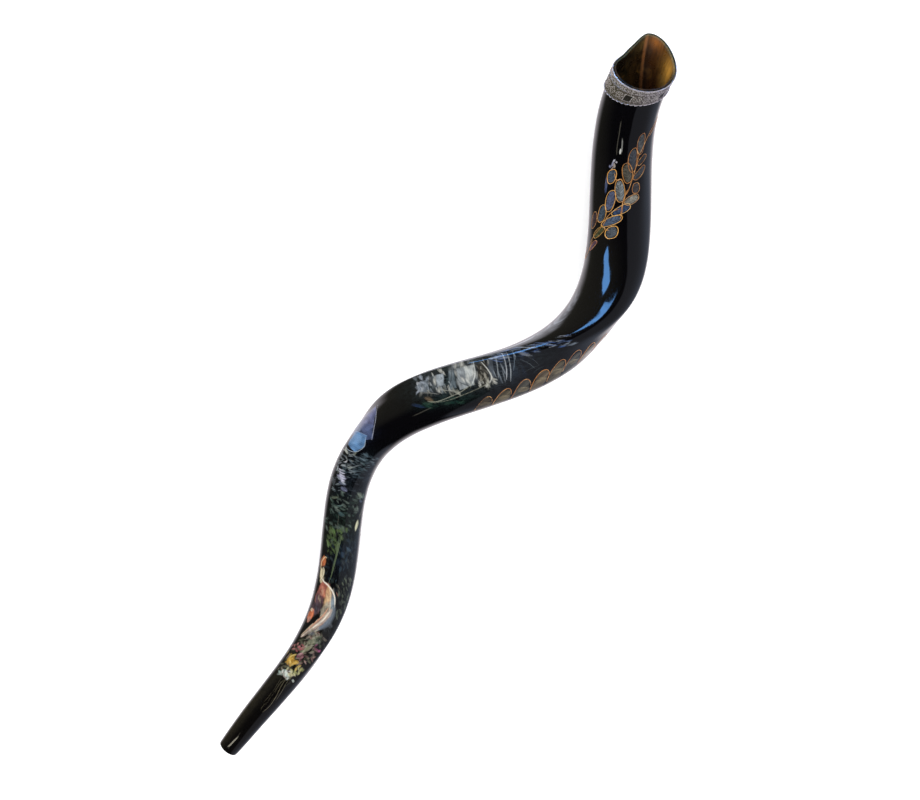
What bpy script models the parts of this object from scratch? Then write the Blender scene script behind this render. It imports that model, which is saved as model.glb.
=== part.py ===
"""A long spiral antelope-horn shofar with a silver sleeve on its bell.

The horn is one natural piece: an open spiral with a keel along it, hollow from the bell to a
mouthpiece cup cut into its tip. The silverwork is a strip bedded on the bell, with a bead at the
rim, a thin bead above its frieze and a scalloped wire along its hem. Nothing on it moves.

Lengths are metres. The horn is built round a straight spiral axis along +X, mouthpiece first, and
then laid on the plane z = 0 in the pose in which it lies still.
"""

import math

import bmesh
import bpy
import numpy as np
from mathutils import Vector

MM = 0.001

# The spine: an open spiral round the X axis. Values at each fifth of the axis, mouthpiece to bell.
SPIRAL_LENGTH = 0.768
SPIRAL_RADII = (0.029, 0.034, 0.042, 0.051, 0.0545, 0.0535)
SPIRAL_ANGLES_DEG = (-182, -137, 0, 126, 235, 345)  # from +Y towards +Z
SPINE_SAMPLES = 600

# The horn's section: a circle that grows towards the bell, with a keel that stands out of it.
TIP_DIAMETER = 19.3 * MM
BELL_DIAMETER = 59.3 * MM
TAPER_POWER = 0.70
KEEL_BODY = 0.32  # height over the circle's radius, once the keel is full
KEEL_BELL = 0.60
KEEL_FULL_AT = 0.45  # share of the spiral's length
KEEL_FLARE_FROM = 0.80
KEEL_ANGLE_DEG = -58  # round the section, from the side that faces away from the spiral's axis
KEEL_TWIST_DEG = -3  # extra turn of the keel over the bell's flare
KEEL_STEEP_DEG = 15  # width of the keel's steep flank
KEEL_BROAD_DEG = 34  # width of its rounded flank
KEEL_CREST_DEG = 4
FLAT_DEPTH = 0.32  # the flat beside the steep flank, over the keel's height
FLAT_AT_DEG = 62
FLAT_WIDTH_DEG = 29
MOUTH_RAKE_DEG = 22  # the mouth is cut askew, and is longest near the keel
LONGEST_AT_DEG = -31  # from the keel
RAKE_FROM = 0.84
RAKE_TO = 0.95

# The bore: a cup, a drilled throat, and the natural cavity. Distances run from the mouthpiece.
TIP_ROUNDING = 1.6 * MM
BORE_STATIONS = (
    (0.0, 6.4 * MM),
    (2.5 * MM, 6.2 * MM),
    (6.0 * MM, 5.3 * MM),
    (9.0 * MM, 3.9 * MM),
    (11.5 * MM, 3.1 * MM),
    (16.0 * MM, 3.0 * MM),
    (60.0 * MM, 3.9 * MM),
    (230.0 * MM, 4.6 * MM),
    (300.0 * MM, 8.5 * MM),
)
CAVITY_FULL_AT = 0.75  # share of the horn's length from which the wall is even
WALL = 3.4 * MM
WALL_AT_RIM = 1.8 * MM
RIM_CHAMFER = 14.0 * MM  # length over which the wall thins to the rim

# The silverwork, as offsets from the horn's outside. Neighbours keep a small gap.
GAP = 0.3 * MM
BED_THICKNESS = 0.4 * MM
SHEET_THICKNESS = 0.5 * MM
SLEEVE_HEIGHT = 19.0 * MM
BED_MARGIN = 1.5 * MM  # the bed ends this far inside the sleeve's two edges
RIM_BEAD_RADIUS = 0.6 * MM
FRIEZE_BEAD_DROP = 5.6 * MM
FRIEZE_BEAD_RADIUS = 0.45 * MM
HEM_RADIUS = 0.55 * MM
HEM_SCALLOPS = 48
HEM_SCALLOP_DEPTH = 0.8 * MM
POINTS_PER_SCALLOP = 4

# How finely the solids are faceted.
SECTION_POINTS = 30
KEEL_CROWDING = 0.42  # how much closer the section's points stand at the keel, 0 to 1
OUTER_RINGS = 62
CAVITY_RINGS = 36
ROUNDING_RINGS = 3
SLEEVE_ROWS = 4
BEAD_POINTS = 60

# The pose at rest on a flat surface, found from the balance of the solid horn.
REST_PITCH_DEG = -3.45
REST_ROLL_DEG = 0.7

LACQUER = ("black_lacquered_horn", (0.012, 0.012, 0.014), 0.08, 0.0)
SILVER = ("silver_plate", (0.74, 0.73, 0.70), 0.28, 1.0)
ADHESIVE = ("bedding_adhesive", (0.62, 0.56, 0.42), 0.6, 0.0)


def smooth_curve(values):
    """A smooth curve through values at even steps of the spiral's length."""
    steps = np.linspace(0.0, 1.0, len(values))
    return np.poly1d(np.polyfit(steps, values, len(values) - 1))


SPIRAL_RADIUS = smooth_curve(SPIRAL_RADII)
SPIRAL_ANGLE = smooth_curve(np.radians(SPIRAL_ANGLES_DEG))


def spine_point(share):
    """The centre of the horn's section at a share of the spiral's length."""
    angle, radius = float(SPIRAL_ANGLE(share)), float(SPIRAL_RADIUS(share))
    return Vector((SPIRAL_LENGTH * share, radius * math.cos(angle), radius * math.sin(angle)))


SHARES = np.linspace(0.0, 1.0, SPINE_SAMPLES)
SPINE = np.array([spine_point(share) for share in SHARES])
DISTANCES = np.concatenate([[0.0], np.cumsum(np.linalg.norm(np.diff(SPINE, axis=0), axis=1))])
HORN_LENGTH = float(DISTANCES[-1])  # along the spine, mouthpiece to bell


def share_at(distance):
    return float(np.interp(distance, DISTANCES, SHARES))


def section_frame(share):
    """Centre, tangent, outward and side directions of the section; outward faces away from the axis."""
    step = 1.0 / SPINE_SAMPLES
    tangent = (spine_point(share + step) - spine_point(share - step)).normalized()
    angle = float(SPIRAL_ANGLE(share))
    outward = Vector((0.0, math.cos(angle), math.sin(angle)))
    outward = (outward - outward.dot(tangent) * tangent).normalized()
    return spine_point(share), tangent, outward, tangent.cross(outward)


def ease(share, start, end):
    """0 before start, 1 after end, and smooth between them."""
    x = min(max((share - start) / (end - start), 0.0), 1.0)
    return x * x * (3.0 - 2.0 * x)


def keel_height(share):
    """The keel's height over the circle's radius."""
    flare = max(share - KEEL_FLARE_FROM, 0.0) / (1.0 - KEEL_FLARE_FROM)
    return KEEL_BODY * min(share / KEEL_FULL_AT, 1.0) + (KEEL_BELL - KEEL_BODY) * flare**2


def keel_profile(angle):
    """The keel's profile, 1 on its crest. One flank is steep, and ends in a flat."""
    width = math.radians(KEEL_STEEP_DEG if angle > 0 else KEEL_BROAD_DEG)
    crest = math.radians(KEEL_CREST_DEG)
    away = math.hypot(angle, crest) - crest
    from_flat = (angle - math.radians(FLAT_AT_DEG)) / math.radians(FLAT_WIDTH_DEG)
    return math.exp(-((away / width) ** 1.5)) - FLAT_DEPTH * math.exp(-(from_flat**2))


def outer_radius(share):
    return (TIP_DIAMETER + (BELL_DIAMETER - TIP_DIAMETER) * share**TAPER_POWER) / 2


def bore_radius(distance):
    """The bore's radius, without its keel: the stations, then the cavity, which follows the wall."""
    cavity_from, cavity_radius = BORE_STATIONS[-1]
    if distance <= cavity_from:
        return float(np.interp(distance, *zip(*BORE_STATIONS)))
    wall_there = outer_radius(share_at(cavity_from)) - cavity_radius
    along = ease(distance, cavity_from, HORN_LENGTH * CAVITY_FULL_AT)
    to_rim = ease(distance, HORN_LENGTH - RIM_CHAMFER, HORN_LENGTH)
    wall = wall_there + (WALL - wall_there) * along + (WALL_AT_RIM - WALL) * to_rim
    return outer_radius(share_at(distance)) - wall


def bore_keel(distance):
    """The keel inside the cavity: none in the drilled bore, and the outside's at the bell."""
    cavity_from = BORE_STATIONS[-1][0]
    return keel_height(share_at(distance)) * ease(distance, cavity_from, HORN_LENGTH * CAVITY_FULL_AT)


def ring(distance, radius, keel, grow=0.0, angles=None):
    """Points round the horn at a distance from the mouthpiece. Towards the bell its plane is raked."""
    share = share_at(distance)
    centre, tangent, outward, side = section_frame(share)
    twist = KEEL_TWIST_DEG * ease(share, KEEL_FLARE_FROM, 1.0)
    turn = math.radians(KEEL_ANGLE_DEG + twist)
    rake = math.tan(math.radians(MOUTH_RAKE_DEG)) * ease(share, RAKE_FROM, RAKE_TO)
    points = []
    for angle in SECTION_ANGLES if angles is None else angles:
        reach = float(radius * (1.0 + keel * keel_profile(angle)) + grow)
        across = math.cos(angle + turn) * outward + math.sin(angle + turn) * side
        ahead = rake * math.cos(angle - math.radians(LONGEST_AT_DEG))
        points.append(centre + reach * (across + ahead * tangent))
    return points


def section_angles(count, crowding=KEEL_CROWDING):
    """Angles round the section, from -180 to 180 degrees with the keel at 0, closer there."""
    turns = (np.arange(count) / count - 0.5) * 2.0 * math.pi
    return [float(a - crowding * math.sin(a)) for a in turns]


SECTION_ANGLES = section_angles(SECTION_POINTS)


def outside_ring(distance, grow=0.0, angles=None):
    share = share_at(distance)
    return ring(distance, outer_radius(share), keel_height(share), grow, angles)


def material(name, colour, roughness, metallic):
    made = bpy.data.materials.new(name)
    made.use_nodes = True
    shader = made.node_tree.nodes["Principled BSDF"]
    shader.inputs["Base Color"].default_value = (*colour, 1.0)
    shader.inputs["Roughness"].default_value = roughness
    shader.inputs["Metallic"].default_value = metallic
    return made


def add_object(name, data, collection, finish):
    data.materials.append(finish)
    made = bpy.data.objects.new(name, data)
    collection.objects.link(made)
    return made


def closed_loft(name, rings, collection, finish):
    """A ring-shaped solid: a skin over the rings in turn, and from the last back to the first."""
    bm = bmesh.new()
    rows = [[bm.verts.new(point) for point in points] for points in rings]
    for row, following in zip(rows, rows[1:] + rows[:1]):
        for i in range(len(row)):
            j = (i + 1) % len(row)
            bm.faces.new((row[i], row[j], following[j], following[i]))
    bmesh.ops.recalc_face_normals(bm, faces=bm.faces)
    mesh = bpy.data.meshes.new(name)
    bm.to_mesh(mesh)
    bm.free()
    mesh.shade_smooth()
    mesh.set_sharp_from_angle(angle=math.radians(35))
    return add_object(name, mesh, collection, finish)


def wire_ring(name, points, radius, resolution, collection, finish):
    """A closed round wire through the points."""
    curve = bpy.data.curves.new(name, "CURVE")
    curve.dimensions = "3D"
    curve.bevel_depth = radius
    curve.bevel_resolution = resolution
    spline = curve.splines.new("POLY")
    spline.points.add(len(points) - 1)
    for slot, point in zip(spline.points, points):
        slot.co = (*point, 1.0)
    spline.use_cyclic_u = True
    return add_object(name, curve, collection, finish)


def tip_rings():
    """The mouthpiece's rounded outer edge, from its flat face back along the horn."""
    rings = []
    for step in range(ROUNDING_RINGS + 1):
        turn = 0.5 * math.pi * step / ROUNDING_RINGS
        distance = TIP_ROUNDING * (1.0 - math.cos(turn))
        inset = TIP_ROUNDING * (1.0 - math.sin(turn))
        rings.append(outside_ring(distance, -inset))
    return rings


def make_horn(collection, finish):
    outside = [outside_ring(d) for d in np.linspace(TIP_ROUNDING, HORN_LENGTH, OUTER_RINGS)[1:]]
    cavity_from = BORE_STATIONS[-1][0]
    depths = [d for d, _ in BORE_STATIONS[:-1]]
    depths += list(np.linspace(cavity_from, HORN_LENGTH - RIM_CHAMFER, CAVITY_RINGS))
    depths += [HORN_LENGTH - RIM_CHAMFER / 2, HORN_LENGTH]
    inside = [ring(d, bore_radius(d), bore_keel(d)) for d in reversed(depths)]
    return closed_loft("horn_body", tip_rings() + outside + inside, collection, finish)


def make_band(name, top, bottom, inner, thickness, collection, finish):
    """A band round the bell between two drops below its rim, at an offset from the horn."""
    drops = np.linspace(top, bottom, SLEEVE_ROWS)
    outside = [outside_ring(HORN_LENGTH - drop, inner + thickness) for drop in drops]
    inside = [outside_ring(HORN_LENGTH - drop, inner) for drop in reversed(drops)]
    return closed_loft(name, outside + inside, collection, finish)


def make_silverwork(collection, silver, adhesive):
    bed_inner = GAP
    sleeve_inner = bed_inner + BED_THICKNESS + GAP
    face = sleeve_inner + SHEET_THICKNESS + GAP  # where wires lie on the sleeve
    bed_bottom = SLEEVE_HEIGHT - BED_MARGIN
    made = [
        make_band(
            "sleeve_adhesive_bed", BED_MARGIN, bed_bottom, bed_inner, BED_THICKNESS,
            collection, adhesive,
        ),
        make_band(
            "bell_sleeve", 0.0, SLEEVE_HEIGHT, sleeve_inner, SHEET_THICKNESS, collection, silver
        ),
    ]
    round_bell = section_angles(BEAD_POINTS)
    for name, drop, radius in (
        ("sleeve_rim_bead", RIM_BEAD_RADIUS, RIM_BEAD_RADIUS),
        ("sleeve_frieze_bead", FRIEZE_BEAD_DROP, FRIEZE_BEAD_RADIUS),
    ):
        path = outside_ring(HORN_LENGTH - drop, face + radius, round_bell)
        made.append(wire_ring(name, path, radius, 1, collection, silver))
    made.append(make_hem(face + HEM_RADIUS, collection, silver))
    return made


def make_hem(grow, collection, silver):
    """The scalloped wire along the sleeve's lower edge, its scallops evenly long round the bell."""
    drop = SLEEVE_HEIGHT - HEM_SCALLOP_DEPTH
    fine = section_angles(720, 0.0)
    trace = np.array(outside_ring(HORN_LENGTH - drop, grow, fine + fine[:1]))
    run = np.concatenate([[0.0], np.cumsum(np.linalg.norm(np.diff(trace, axis=0), axis=1))])
    turns = np.array(fine + [fine[0] + 2.0 * math.pi])
    count = HEM_SCALLOPS * POINTS_PER_SCALLOP
    path = []
    for i in range(count):
        angle = float(np.interp(run[-1] * i / count, run, turns))
        wave = abs(math.sin(math.pi * i / POINTS_PER_SCALLOP))
        distance = HORN_LENGTH - drop - HEM_SCALLOP_DEPTH * wave
        path += outside_ring(distance, grow, [angle])
    return wire_ring("sleeve_scalloped_hem", path, HEM_RADIUS, 0, collection, silver)


def lay_down(objects, collection):
    """Turns the horn to its pose at rest, and puts the origin under the middle of its box."""
    pose = bpy.data.objects.new("pose_at_rest", None)
    pose.rotation_euler = (math.radians(REST_ROLL_DEG), math.radians(REST_PITCH_DEG), 0.0)
    collection.objects.link(pose)
    for made in objects:
        made.parent = pose
    bpy.context.view_layer.update()
    graph = bpy.context.evaluated_depsgraph_get()
    corners = []
    for made in objects:
        solid = made.evaluated_get(graph)
        mesh = solid.to_mesh()
        corners += [solid.matrix_world @ vertex.co for vertex in mesh.vertices]
        solid.to_mesh_clear()
    low = Vector(map(min, *corners))
    high = Vector(map(max, *corners))
    pose.location = (-(low.x + high.x) / 2, -(low.y + high.y) / 2, -low.z)


def main():
    for old in list(bpy.data.objects):
        bpy.data.objects.remove(old)
    collection = bpy.data.collections.new("shofar")
    bpy.context.scene.collection.children.link(collection)
    objects = [make_horn(collection, material(*LACQUER))]
    objects += make_silverwork(collection, material(*SILVER), material(*ADHESIVE))
    lay_down(objects, collection)


main()
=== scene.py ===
"""The looks of the painted shofar: horn, lacquer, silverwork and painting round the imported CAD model."""

import math

import bpy
import numpy as np
from mathutils import Euler, Matrix, Vector


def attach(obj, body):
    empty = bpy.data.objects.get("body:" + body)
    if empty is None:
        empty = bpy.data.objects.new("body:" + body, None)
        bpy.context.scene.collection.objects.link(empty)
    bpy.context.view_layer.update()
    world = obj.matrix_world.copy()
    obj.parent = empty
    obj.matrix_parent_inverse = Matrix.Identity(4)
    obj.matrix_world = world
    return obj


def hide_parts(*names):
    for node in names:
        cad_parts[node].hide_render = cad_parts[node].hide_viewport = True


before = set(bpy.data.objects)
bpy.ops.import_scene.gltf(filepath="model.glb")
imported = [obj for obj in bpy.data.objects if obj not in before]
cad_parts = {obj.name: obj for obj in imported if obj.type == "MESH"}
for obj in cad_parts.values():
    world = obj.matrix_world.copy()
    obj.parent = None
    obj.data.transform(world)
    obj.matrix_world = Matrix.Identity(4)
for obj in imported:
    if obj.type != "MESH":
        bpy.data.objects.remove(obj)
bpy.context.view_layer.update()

MM = 0.001

# The horn's form, as the CAD source gives it: a spiral spine and a keeled round section.
SPIRAL_LENGTH = 0.768
SPIRAL_RADII = (0.029, 0.034, 0.042, 0.051, 0.0545, 0.0535)
SPIRAL_ANGLES_DEG = (-182, -137, 0, 126, 235, 345)
SPINE_SAMPLES = 600
TIP_DIAMETER = 19.3 * MM
BELL_DIAMETER = 59.3 * MM
TAPER_POWER = 0.70
KEEL_BODY = 0.32
KEEL_BELL = 0.60
KEEL_FULL_AT = 0.45
KEEL_FLARE_FROM = 0.80
KEEL_ANGLE_DEG = -58
KEEL_TWIST_DEG = -3
KEEL_STEEP_DEG = 15
KEEL_BROAD_DEG = 34
KEEL_CREST_DEG = 4
FLAT_DEPTH = 0.32
FLAT_AT_DEG = 62
FLAT_WIDTH_DEG = 29
MOUTH_RAKE_DEG = 22
LONGEST_AT_DEG = -31
RAKE_FROM = 0.84
RAKE_TO = 0.95
TIP_ROUNDING = 1.6 * MM
BORE_DEPTHS = np.array((0, 2.5, 6, 9, 11.5, 16, 60, 230, 300)) * MM
BORE_RADII = np.array((6.4, 6.2, 5.3, 3.9, 3.1, 3.0, 3.9, 4.6, 8.5)) * MM
THROAT_DEPTH = 16 * MM
CAVITY_FROM = 300 * MM
CAVITY_FULL_AT = 0.75
WALL = 3.4 * MM
WALL_AT_RIM = 1.8 * MM
RIM_CHAMFER = 14 * MM

# The silverwork, as offsets from the horn's outside.
SLEEVE_INNER = 0.75 * MM
SLEEVE_OUTER = 1.05 * MM
SLEEVE_HEIGHT = 19.0 * MM
WIRE_SEAT = 1.0 * MM
RIM_BEAD_RADIUS = 0.38 * MM
FRIEZE_BEAD_DROP = 5.6 * MM
FRIEZE_BEAD_RADIUS = 0.3 * MM
HEM_RADIUS = 0.48 * MM
HEM_SCALLOPS = 48
HEM_SCALLOP_DEPTH = 0.8 * MM

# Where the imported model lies: the horn's own frame, turned and moved.
REST_ROLL_DEG = 0.7
REST_PITCH_DEG = -3.45
REST_PLACE = (-0.40349641, -0.00101608, 0.04036381)
POSE = np.array(Euler((math.radians(REST_ROLL_DEG), math.radians(REST_PITCH_DEG), 0.0)).to_matrix())

# The camera, in the horn's own frame.
CAMERA_PLACE = (0.40323, -0.00236, 2.0)
CAMERA_TURN_DEG = 52.56
CAMERA_LENS = 81.1

# The steps in which the surface's stretch is measured.
SMALL_STEP = 0.5 * MM
STROKE_TURN = 0.02
CANVAS_TURN = 0.01


def table(text):
    """Rows parted by semicolons, as lists. # starts a colour. Pairs with a comma come first, in one list."""
    rows = []
    for row in text.split(";"):
        items = row.split()
        pairs = [[float(part) for part in item.split(",")] for item in items if "," in item]
        rest = [item[1:] if item[0] == "#" else float(item) for item in items if "," not in item]
        rows.append([pairs, *rest] if pairs else rest)
    return rows


# ---------------------------------------------------------------- the horn's surface


def smooth_curve(values):
    steps = np.linspace(0.0, 1.0, len(values))
    return np.poly1d(np.polyfit(steps, values, len(values) - 1))


SPIRAL_RADIUS = smooth_curve(SPIRAL_RADII)
SPIRAL_ANGLE = smooth_curve(np.radians(SPIRAL_ANGLES_DEG))


def spine(share):
    angle, radius = SPIRAL_ANGLE(share), SPIRAL_RADIUS(share)
    return np.stack([SPIRAL_LENGTH * share, radius * np.cos(angle), radius * np.sin(angle)], -1)


SHARES = np.linspace(0.0, 1.0, SPINE_SAMPLES)
DISTANCES = np.r_[0.0, np.cumsum(np.linalg.norm(np.diff(spine(SHARES), axis=0), axis=1))]
HORN_LENGTH = float(DISTANCES[-1])


def unit(vectors):
    return vectors / np.linalg.norm(vectors, axis=-1, keepdims=True)


def ease(value, start, end):
    x = np.clip((value - start) / (end - start), 0.0, 1.0)
    return x * x * (3.0 - 2.0 * x)


def ridge(away, width):
    return np.exp(-((away / width) ** 2))


def keel_height(share):
    flare = np.maximum(share - KEEL_FLARE_FROM, 0.0) / (1.0 - KEEL_FLARE_FROM)
    return KEEL_BODY * np.minimum(share / KEEL_FULL_AT, 1.0) + (KEEL_BELL - KEEL_BODY) * flare**2


def keel_profile(angle):
    angle = (angle + math.pi) % (2.0 * math.pi) - math.pi
    width = np.radians(np.where(angle > 0, KEEL_STEEP_DEG, KEEL_BROAD_DEG))
    crest = math.radians(KEEL_CREST_DEG)
    away = np.hypot(angle, crest) - crest
    flat = ridge(angle - math.radians(FLAT_AT_DEG), math.radians(FLAT_WIDTH_DEG))
    return np.exp(-((away / width) ** 1.5)) - FLAT_DEPTH * flat


def outer_radius(share):
    return (TIP_DIAMETER + (BELL_DIAMETER - TIP_DIAMETER) * np.maximum(share, 0.0) ** TAPER_POWER) / 2


def share_at(distance):
    return np.interp(distance, DISTANCES, SHARES)


def ring_points(distance, angle, radius, keel, grow):
    """Points in the world for arrays of distance from the mouthpiece, and angle in radians from the keel."""
    share = share_at(distance)
    step = 1.0 / SPINE_SAMPLES
    tangent = unit(spine(share + step) - spine(share - step))
    around = SPIRAL_ANGLE(share)
    outward = np.stack([np.zeros_like(around), np.cos(around), np.sin(around)], -1)
    outward = unit(outward - np.sum(outward * tangent, -1, keepdims=True) * tangent)
    side = np.cross(tangent, outward)
    turn = angle + np.radians(KEEL_ANGLE_DEG + KEEL_TWIST_DEG * ease(share, KEEL_FLARE_FROM, 1.0))
    rake = math.tan(math.radians(MOUTH_RAKE_DEG)) * ease(share, RAKE_FROM, RAKE_TO)
    reach = radius * (1.0 + keel * keel_profile(angle)) + grow
    ahead = rake * np.cos(angle - math.radians(LONGEST_AT_DEG))
    across = np.cos(turn)[..., None] * outward + np.sin(turn)[..., None] * side
    points = spine(share) + reach[..., None] * (across + ahead[..., None] * tangent)
    points = points @ POSE.T + np.array(REST_PLACE)
    points[..., 2] = np.maximum(points[..., 2], 0.0)
    return points


def undulation(distance, angle):
    """The faint waves that a hand-scraped horn keeps under its lacquer."""
    waves = (
        np.sin(distance / (9.1 * MM) + 2.0 * np.sin(angle + 0.4)) * 0.4
        + np.sin(distance / (5.3 * MM) - 3.0 * angle) * 0.22
        + np.sin(distance / (17.0 * MM) + 2.0 * angle + 1.0) * 0.6
    )
    fade = ease(distance, 0.0, 60 * MM) * ease(HORN_LENGTH - distance, 10 * MM, 60 * MM)
    return 0.09 * MM * waves * fade


def outside(distance, angle, grow=0.0):
    distance, angle, grow = np.broadcast_arrays(distance, angle, grow)
    share = share_at(distance)
    grow = grow + undulation(distance, angle)
    return ring_points(distance, angle, outer_radius(share), keel_height(share), grow)


def stretch(distance, angle, turn):
    """How far a point on the outside moves, for each metre along the horn and each radian round it."""
    here = outside(distance, angle)
    along = np.linalg.norm(outside(distance + SMALL_STEP, angle) - here, axis=-1) / SMALL_STEP
    return along, np.linalg.norm(outside(distance, angle + turn) - here, axis=-1) / turn


def bore_radius(distance):
    wall_there = outer_radius(share_at(CAVITY_FROM)) - BORE_RADII[-1]
    along = ease(distance, CAVITY_FROM, HORN_LENGTH * CAVITY_FULL_AT)
    to_rim = ease(distance, HORN_LENGTH - RIM_CHAMFER, HORN_LENGTH)
    wall = wall_there + (WALL - wall_there) * along + (WALL_AT_RIM - WALL) * to_rim
    cavity = outer_radius(share_at(distance)) - wall
    return np.where(distance <= CAVITY_FROM, np.interp(distance, BORE_DEPTHS, BORE_RADII), cavity)


def inside(distance, angle):
    distance, angle = np.broadcast_arrays(distance, angle)
    keel = keel_height(share_at(distance)) * ease(distance, CAVITY_FROM, HORN_LENGTH * CAVITY_FULL_AT)
    return ring_points(distance, angle, bore_radius(distance), keel, 0.0)


# ---------------------------------------------------------------- meshes


def add_mesh(name, points, loops, sizes, finish, layers, sharp_deg):
    """One object from flat arrays. layers are (name, one colour of four numbers for each point)."""
    mesh = bpy.data.meshes.new(name)
    mesh.vertices.add(len(points))
    mesh.vertices.foreach_set("co", np.asarray(points, np.float32).ravel())
    mesh.loops.add(len(loops))
    mesh.loops.foreach_set("vertex_index", np.asarray(loops, np.int32))
    mesh.polygons.add(len(sizes))
    mesh.polygons.foreach_set("loop_start", np.r_[0, np.cumsum(sizes)[:-1]].astype(np.int32))
    mesh.update(calc_edges=True)
    for layer, values in layers:
        attribute = mesh.attributes.new(layer, "FLOAT_COLOR", "POINT")
        attribute.data.foreach_set("color", np.asarray(values, np.float32).ravel())
    mesh.shade_smooth()
    if sharp_deg:
        mesh.set_sharp_from_angle(angle=math.radians(sharp_deg))
    mesh.materials.append(finish)
    made = bpy.data.objects.new(name, mesh)
    bpy.context.scene.collection.objects.link(made)
    return made


def loft_faces(rows, columns, ring_shaped=False):
    """Quads over rows of closed rings, as indices, facing out where a row runs anticlockwise."""
    row = np.arange(rows if ring_shaped else rows - 1)[:, None]
    here = np.arange(columns)[None, :]
    there = (here + 1) % columns
    start, following = row * columns, (row + 1) % rows * columns
    corners = (start + here, start + there, following + there, following + here)
    return np.stack(np.broadcast_arrays(*corners), -1).reshape(-1, 4)


def facing_out(points, quads):
    """The quads, turned round if the closed body they bound is inside out."""
    a, b, c, d = (points[quads[:, k]] for k in range(4))
    volume = np.sum(np.cross(a, b) * c) + np.sum(np.cross(a, c) * d)
    return quads if volume > 0 else quads[:, ::-1]


def closed_loft(name, rings, finish, layers, sharp_deg=35):
    """A ring-shaped solid over rings, an array of rows by columns by 3; the last row joins the first."""
    rows, columns = rings.shape[:2]
    points = rings.reshape(-1, 3)
    quads = facing_out(points, loft_faces(rows, columns, True))
    return add_mesh(name, points, quads.ravel(), np.full(len(quads), 4), finish, layers, sharp_deg)


def settle(piece, slot, *replaced):
    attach(piece, "root")
    if replaced:
        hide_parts(*replaced)
    return piece


# ---------------------------------------------------------------- materials


def colour(code):
    """Linear colour from six hexadecimal digits."""
    parts = [int(code[k : k + 2], 16) / 255 for k in (0, 2, 4)]
    return tuple(p / 12.92 if p <= 0.04045 else ((p + 0.055) / 1.055) ** 2.4 for p in parts)


class Value:
    """A number, colour or direction in a shader. Arithmetic adds the nodes that work it out."""

    def __init__(self, nodes, socket):
        self.nodes, self.socket = nodes, socket

    def __add__(self, other):
        return self.nodes.math("ADD", self, other)

    def __sub__(self, other):
        return self.nodes.math("SUBTRACT", self, other)

    def __rsub__(self, other):
        return self.nodes.math("SUBTRACT", other, self)

    def __mul__(self, other):
        return self.nodes.math("MULTIPLY", self, other)

    def __abs__(self):
        return self.nodes.math("ABSOLUTE", self)


class Nodes:
    """A short way to write node trees: each call adds one node, and returns its output."""

    def __init__(self, tree):
        self.tree = tree

    def add(self, kind, **settings):
        node = self.tree.nodes.new(kind)
        for key, value in settings.items():
            setattr(node, key, value)
        return node

    def feed(self, socket, value):
        if isinstance(value, Value):
            self.tree.links.new(value.socket, socket)
        elif socket.type == "RGBA":
            socket.default_value = (*value, 1.0)
        else:
            socket.default_value = value

    def filled(self, node, values, output=0):
        for socket, value in zip(node.inputs, values):
            self.feed(socket, value)
        return Value(self, node.outputs[output])

    def math(self, operation, *values):
        return self.filled(self.add("ShaderNodeMath", operation=operation), values)

    def dot(self, vector, direction):
        node = self.add("ShaderNodeVectorMath", operation="DOT_PRODUCT")
        return self.filled(node, (vector, tuple(direction)), "Value")

    def smooth(self, value, start, end, low=0.0, high=1.0):
        node = self.add("ShaderNodeMapRange", interpolation_type="SMOOTHSTEP")
        return self.filled(node, (value, start, end, low, high))

    def mix(self, share, first, second):
        node = self.add("ShaderNodeMix", data_type="RGBA")
        self.feed(node.inputs[0], share)
        self.feed(node.inputs[6], first)
        self.feed(node.inputs[7], second)
        return Value(self, node.outputs[2])

    def layer(self, name):
        """A layer's whole colour, then its red, green, blue and alpha."""
        node = self.add("ShaderNodeAttribute", attribute_type="GEOMETRY", attribute_name=name)
        split = self.add("ShaderNodeSeparateColor")
        self.tree.links.new(node.outputs["Color"], split.inputs[0])
        sockets = (node.outputs["Color"], *split.outputs, node.outputs["Alpha"])
        return [Value(self, socket) for socket in sockets]

    def combine(self, *values):
        return self.filled(self.add("ShaderNodeCombineXYZ"), values)

    def noise(self, vector, scale, detail=2.0, distortion=0.0):
        node = self.add("ShaderNodeTexNoise")
        self.feed(node.inputs["Vector"], vector)
        node.inputs["Scale"].default_value = scale
        node.inputs["Detail"].default_value = detail
        node.inputs["Distortion"].default_value = distortion
        return Value(self, node.outputs["Fac"])

    def place(self, kind="Object"):
        return Value(self, self.add("ShaderNodeTexCoord").outputs[kind])

    def surface(self, shade, rough, bumps, strength, depth, metallic=0.0):
        """Feed the material's shader its colour, its roughness and the small bumps of its surface."""
        shader = self.tree.nodes["Principled BSDF"]
        node = self.add("ShaderNodeBump")
        self.feed(node.inputs["Height"], bumps)
        node.inputs["Strength"].default_value = strength
        node.inputs["Distance"].default_value = depth
        self.feed(shader.inputs["Base Color"], shade)
        self.feed(shader.inputs["Roughness"], rough)
        self.feed(shader.inputs["Normal"], Value(self, node.outputs["Normal"]))
        shader.inputs["Metallic"].default_value = metallic


def new_material(name):
    made = bpy.data.materials.new(name)
    made.use_nodes = True
    return made, Nodes(made.node_tree)


BLACK = colour("080808")
PAINT_DEPTH = 0.82
LACQUER_ROUGHNESS = 0.045
LACQUER_UNEVEN = 0.05


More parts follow.
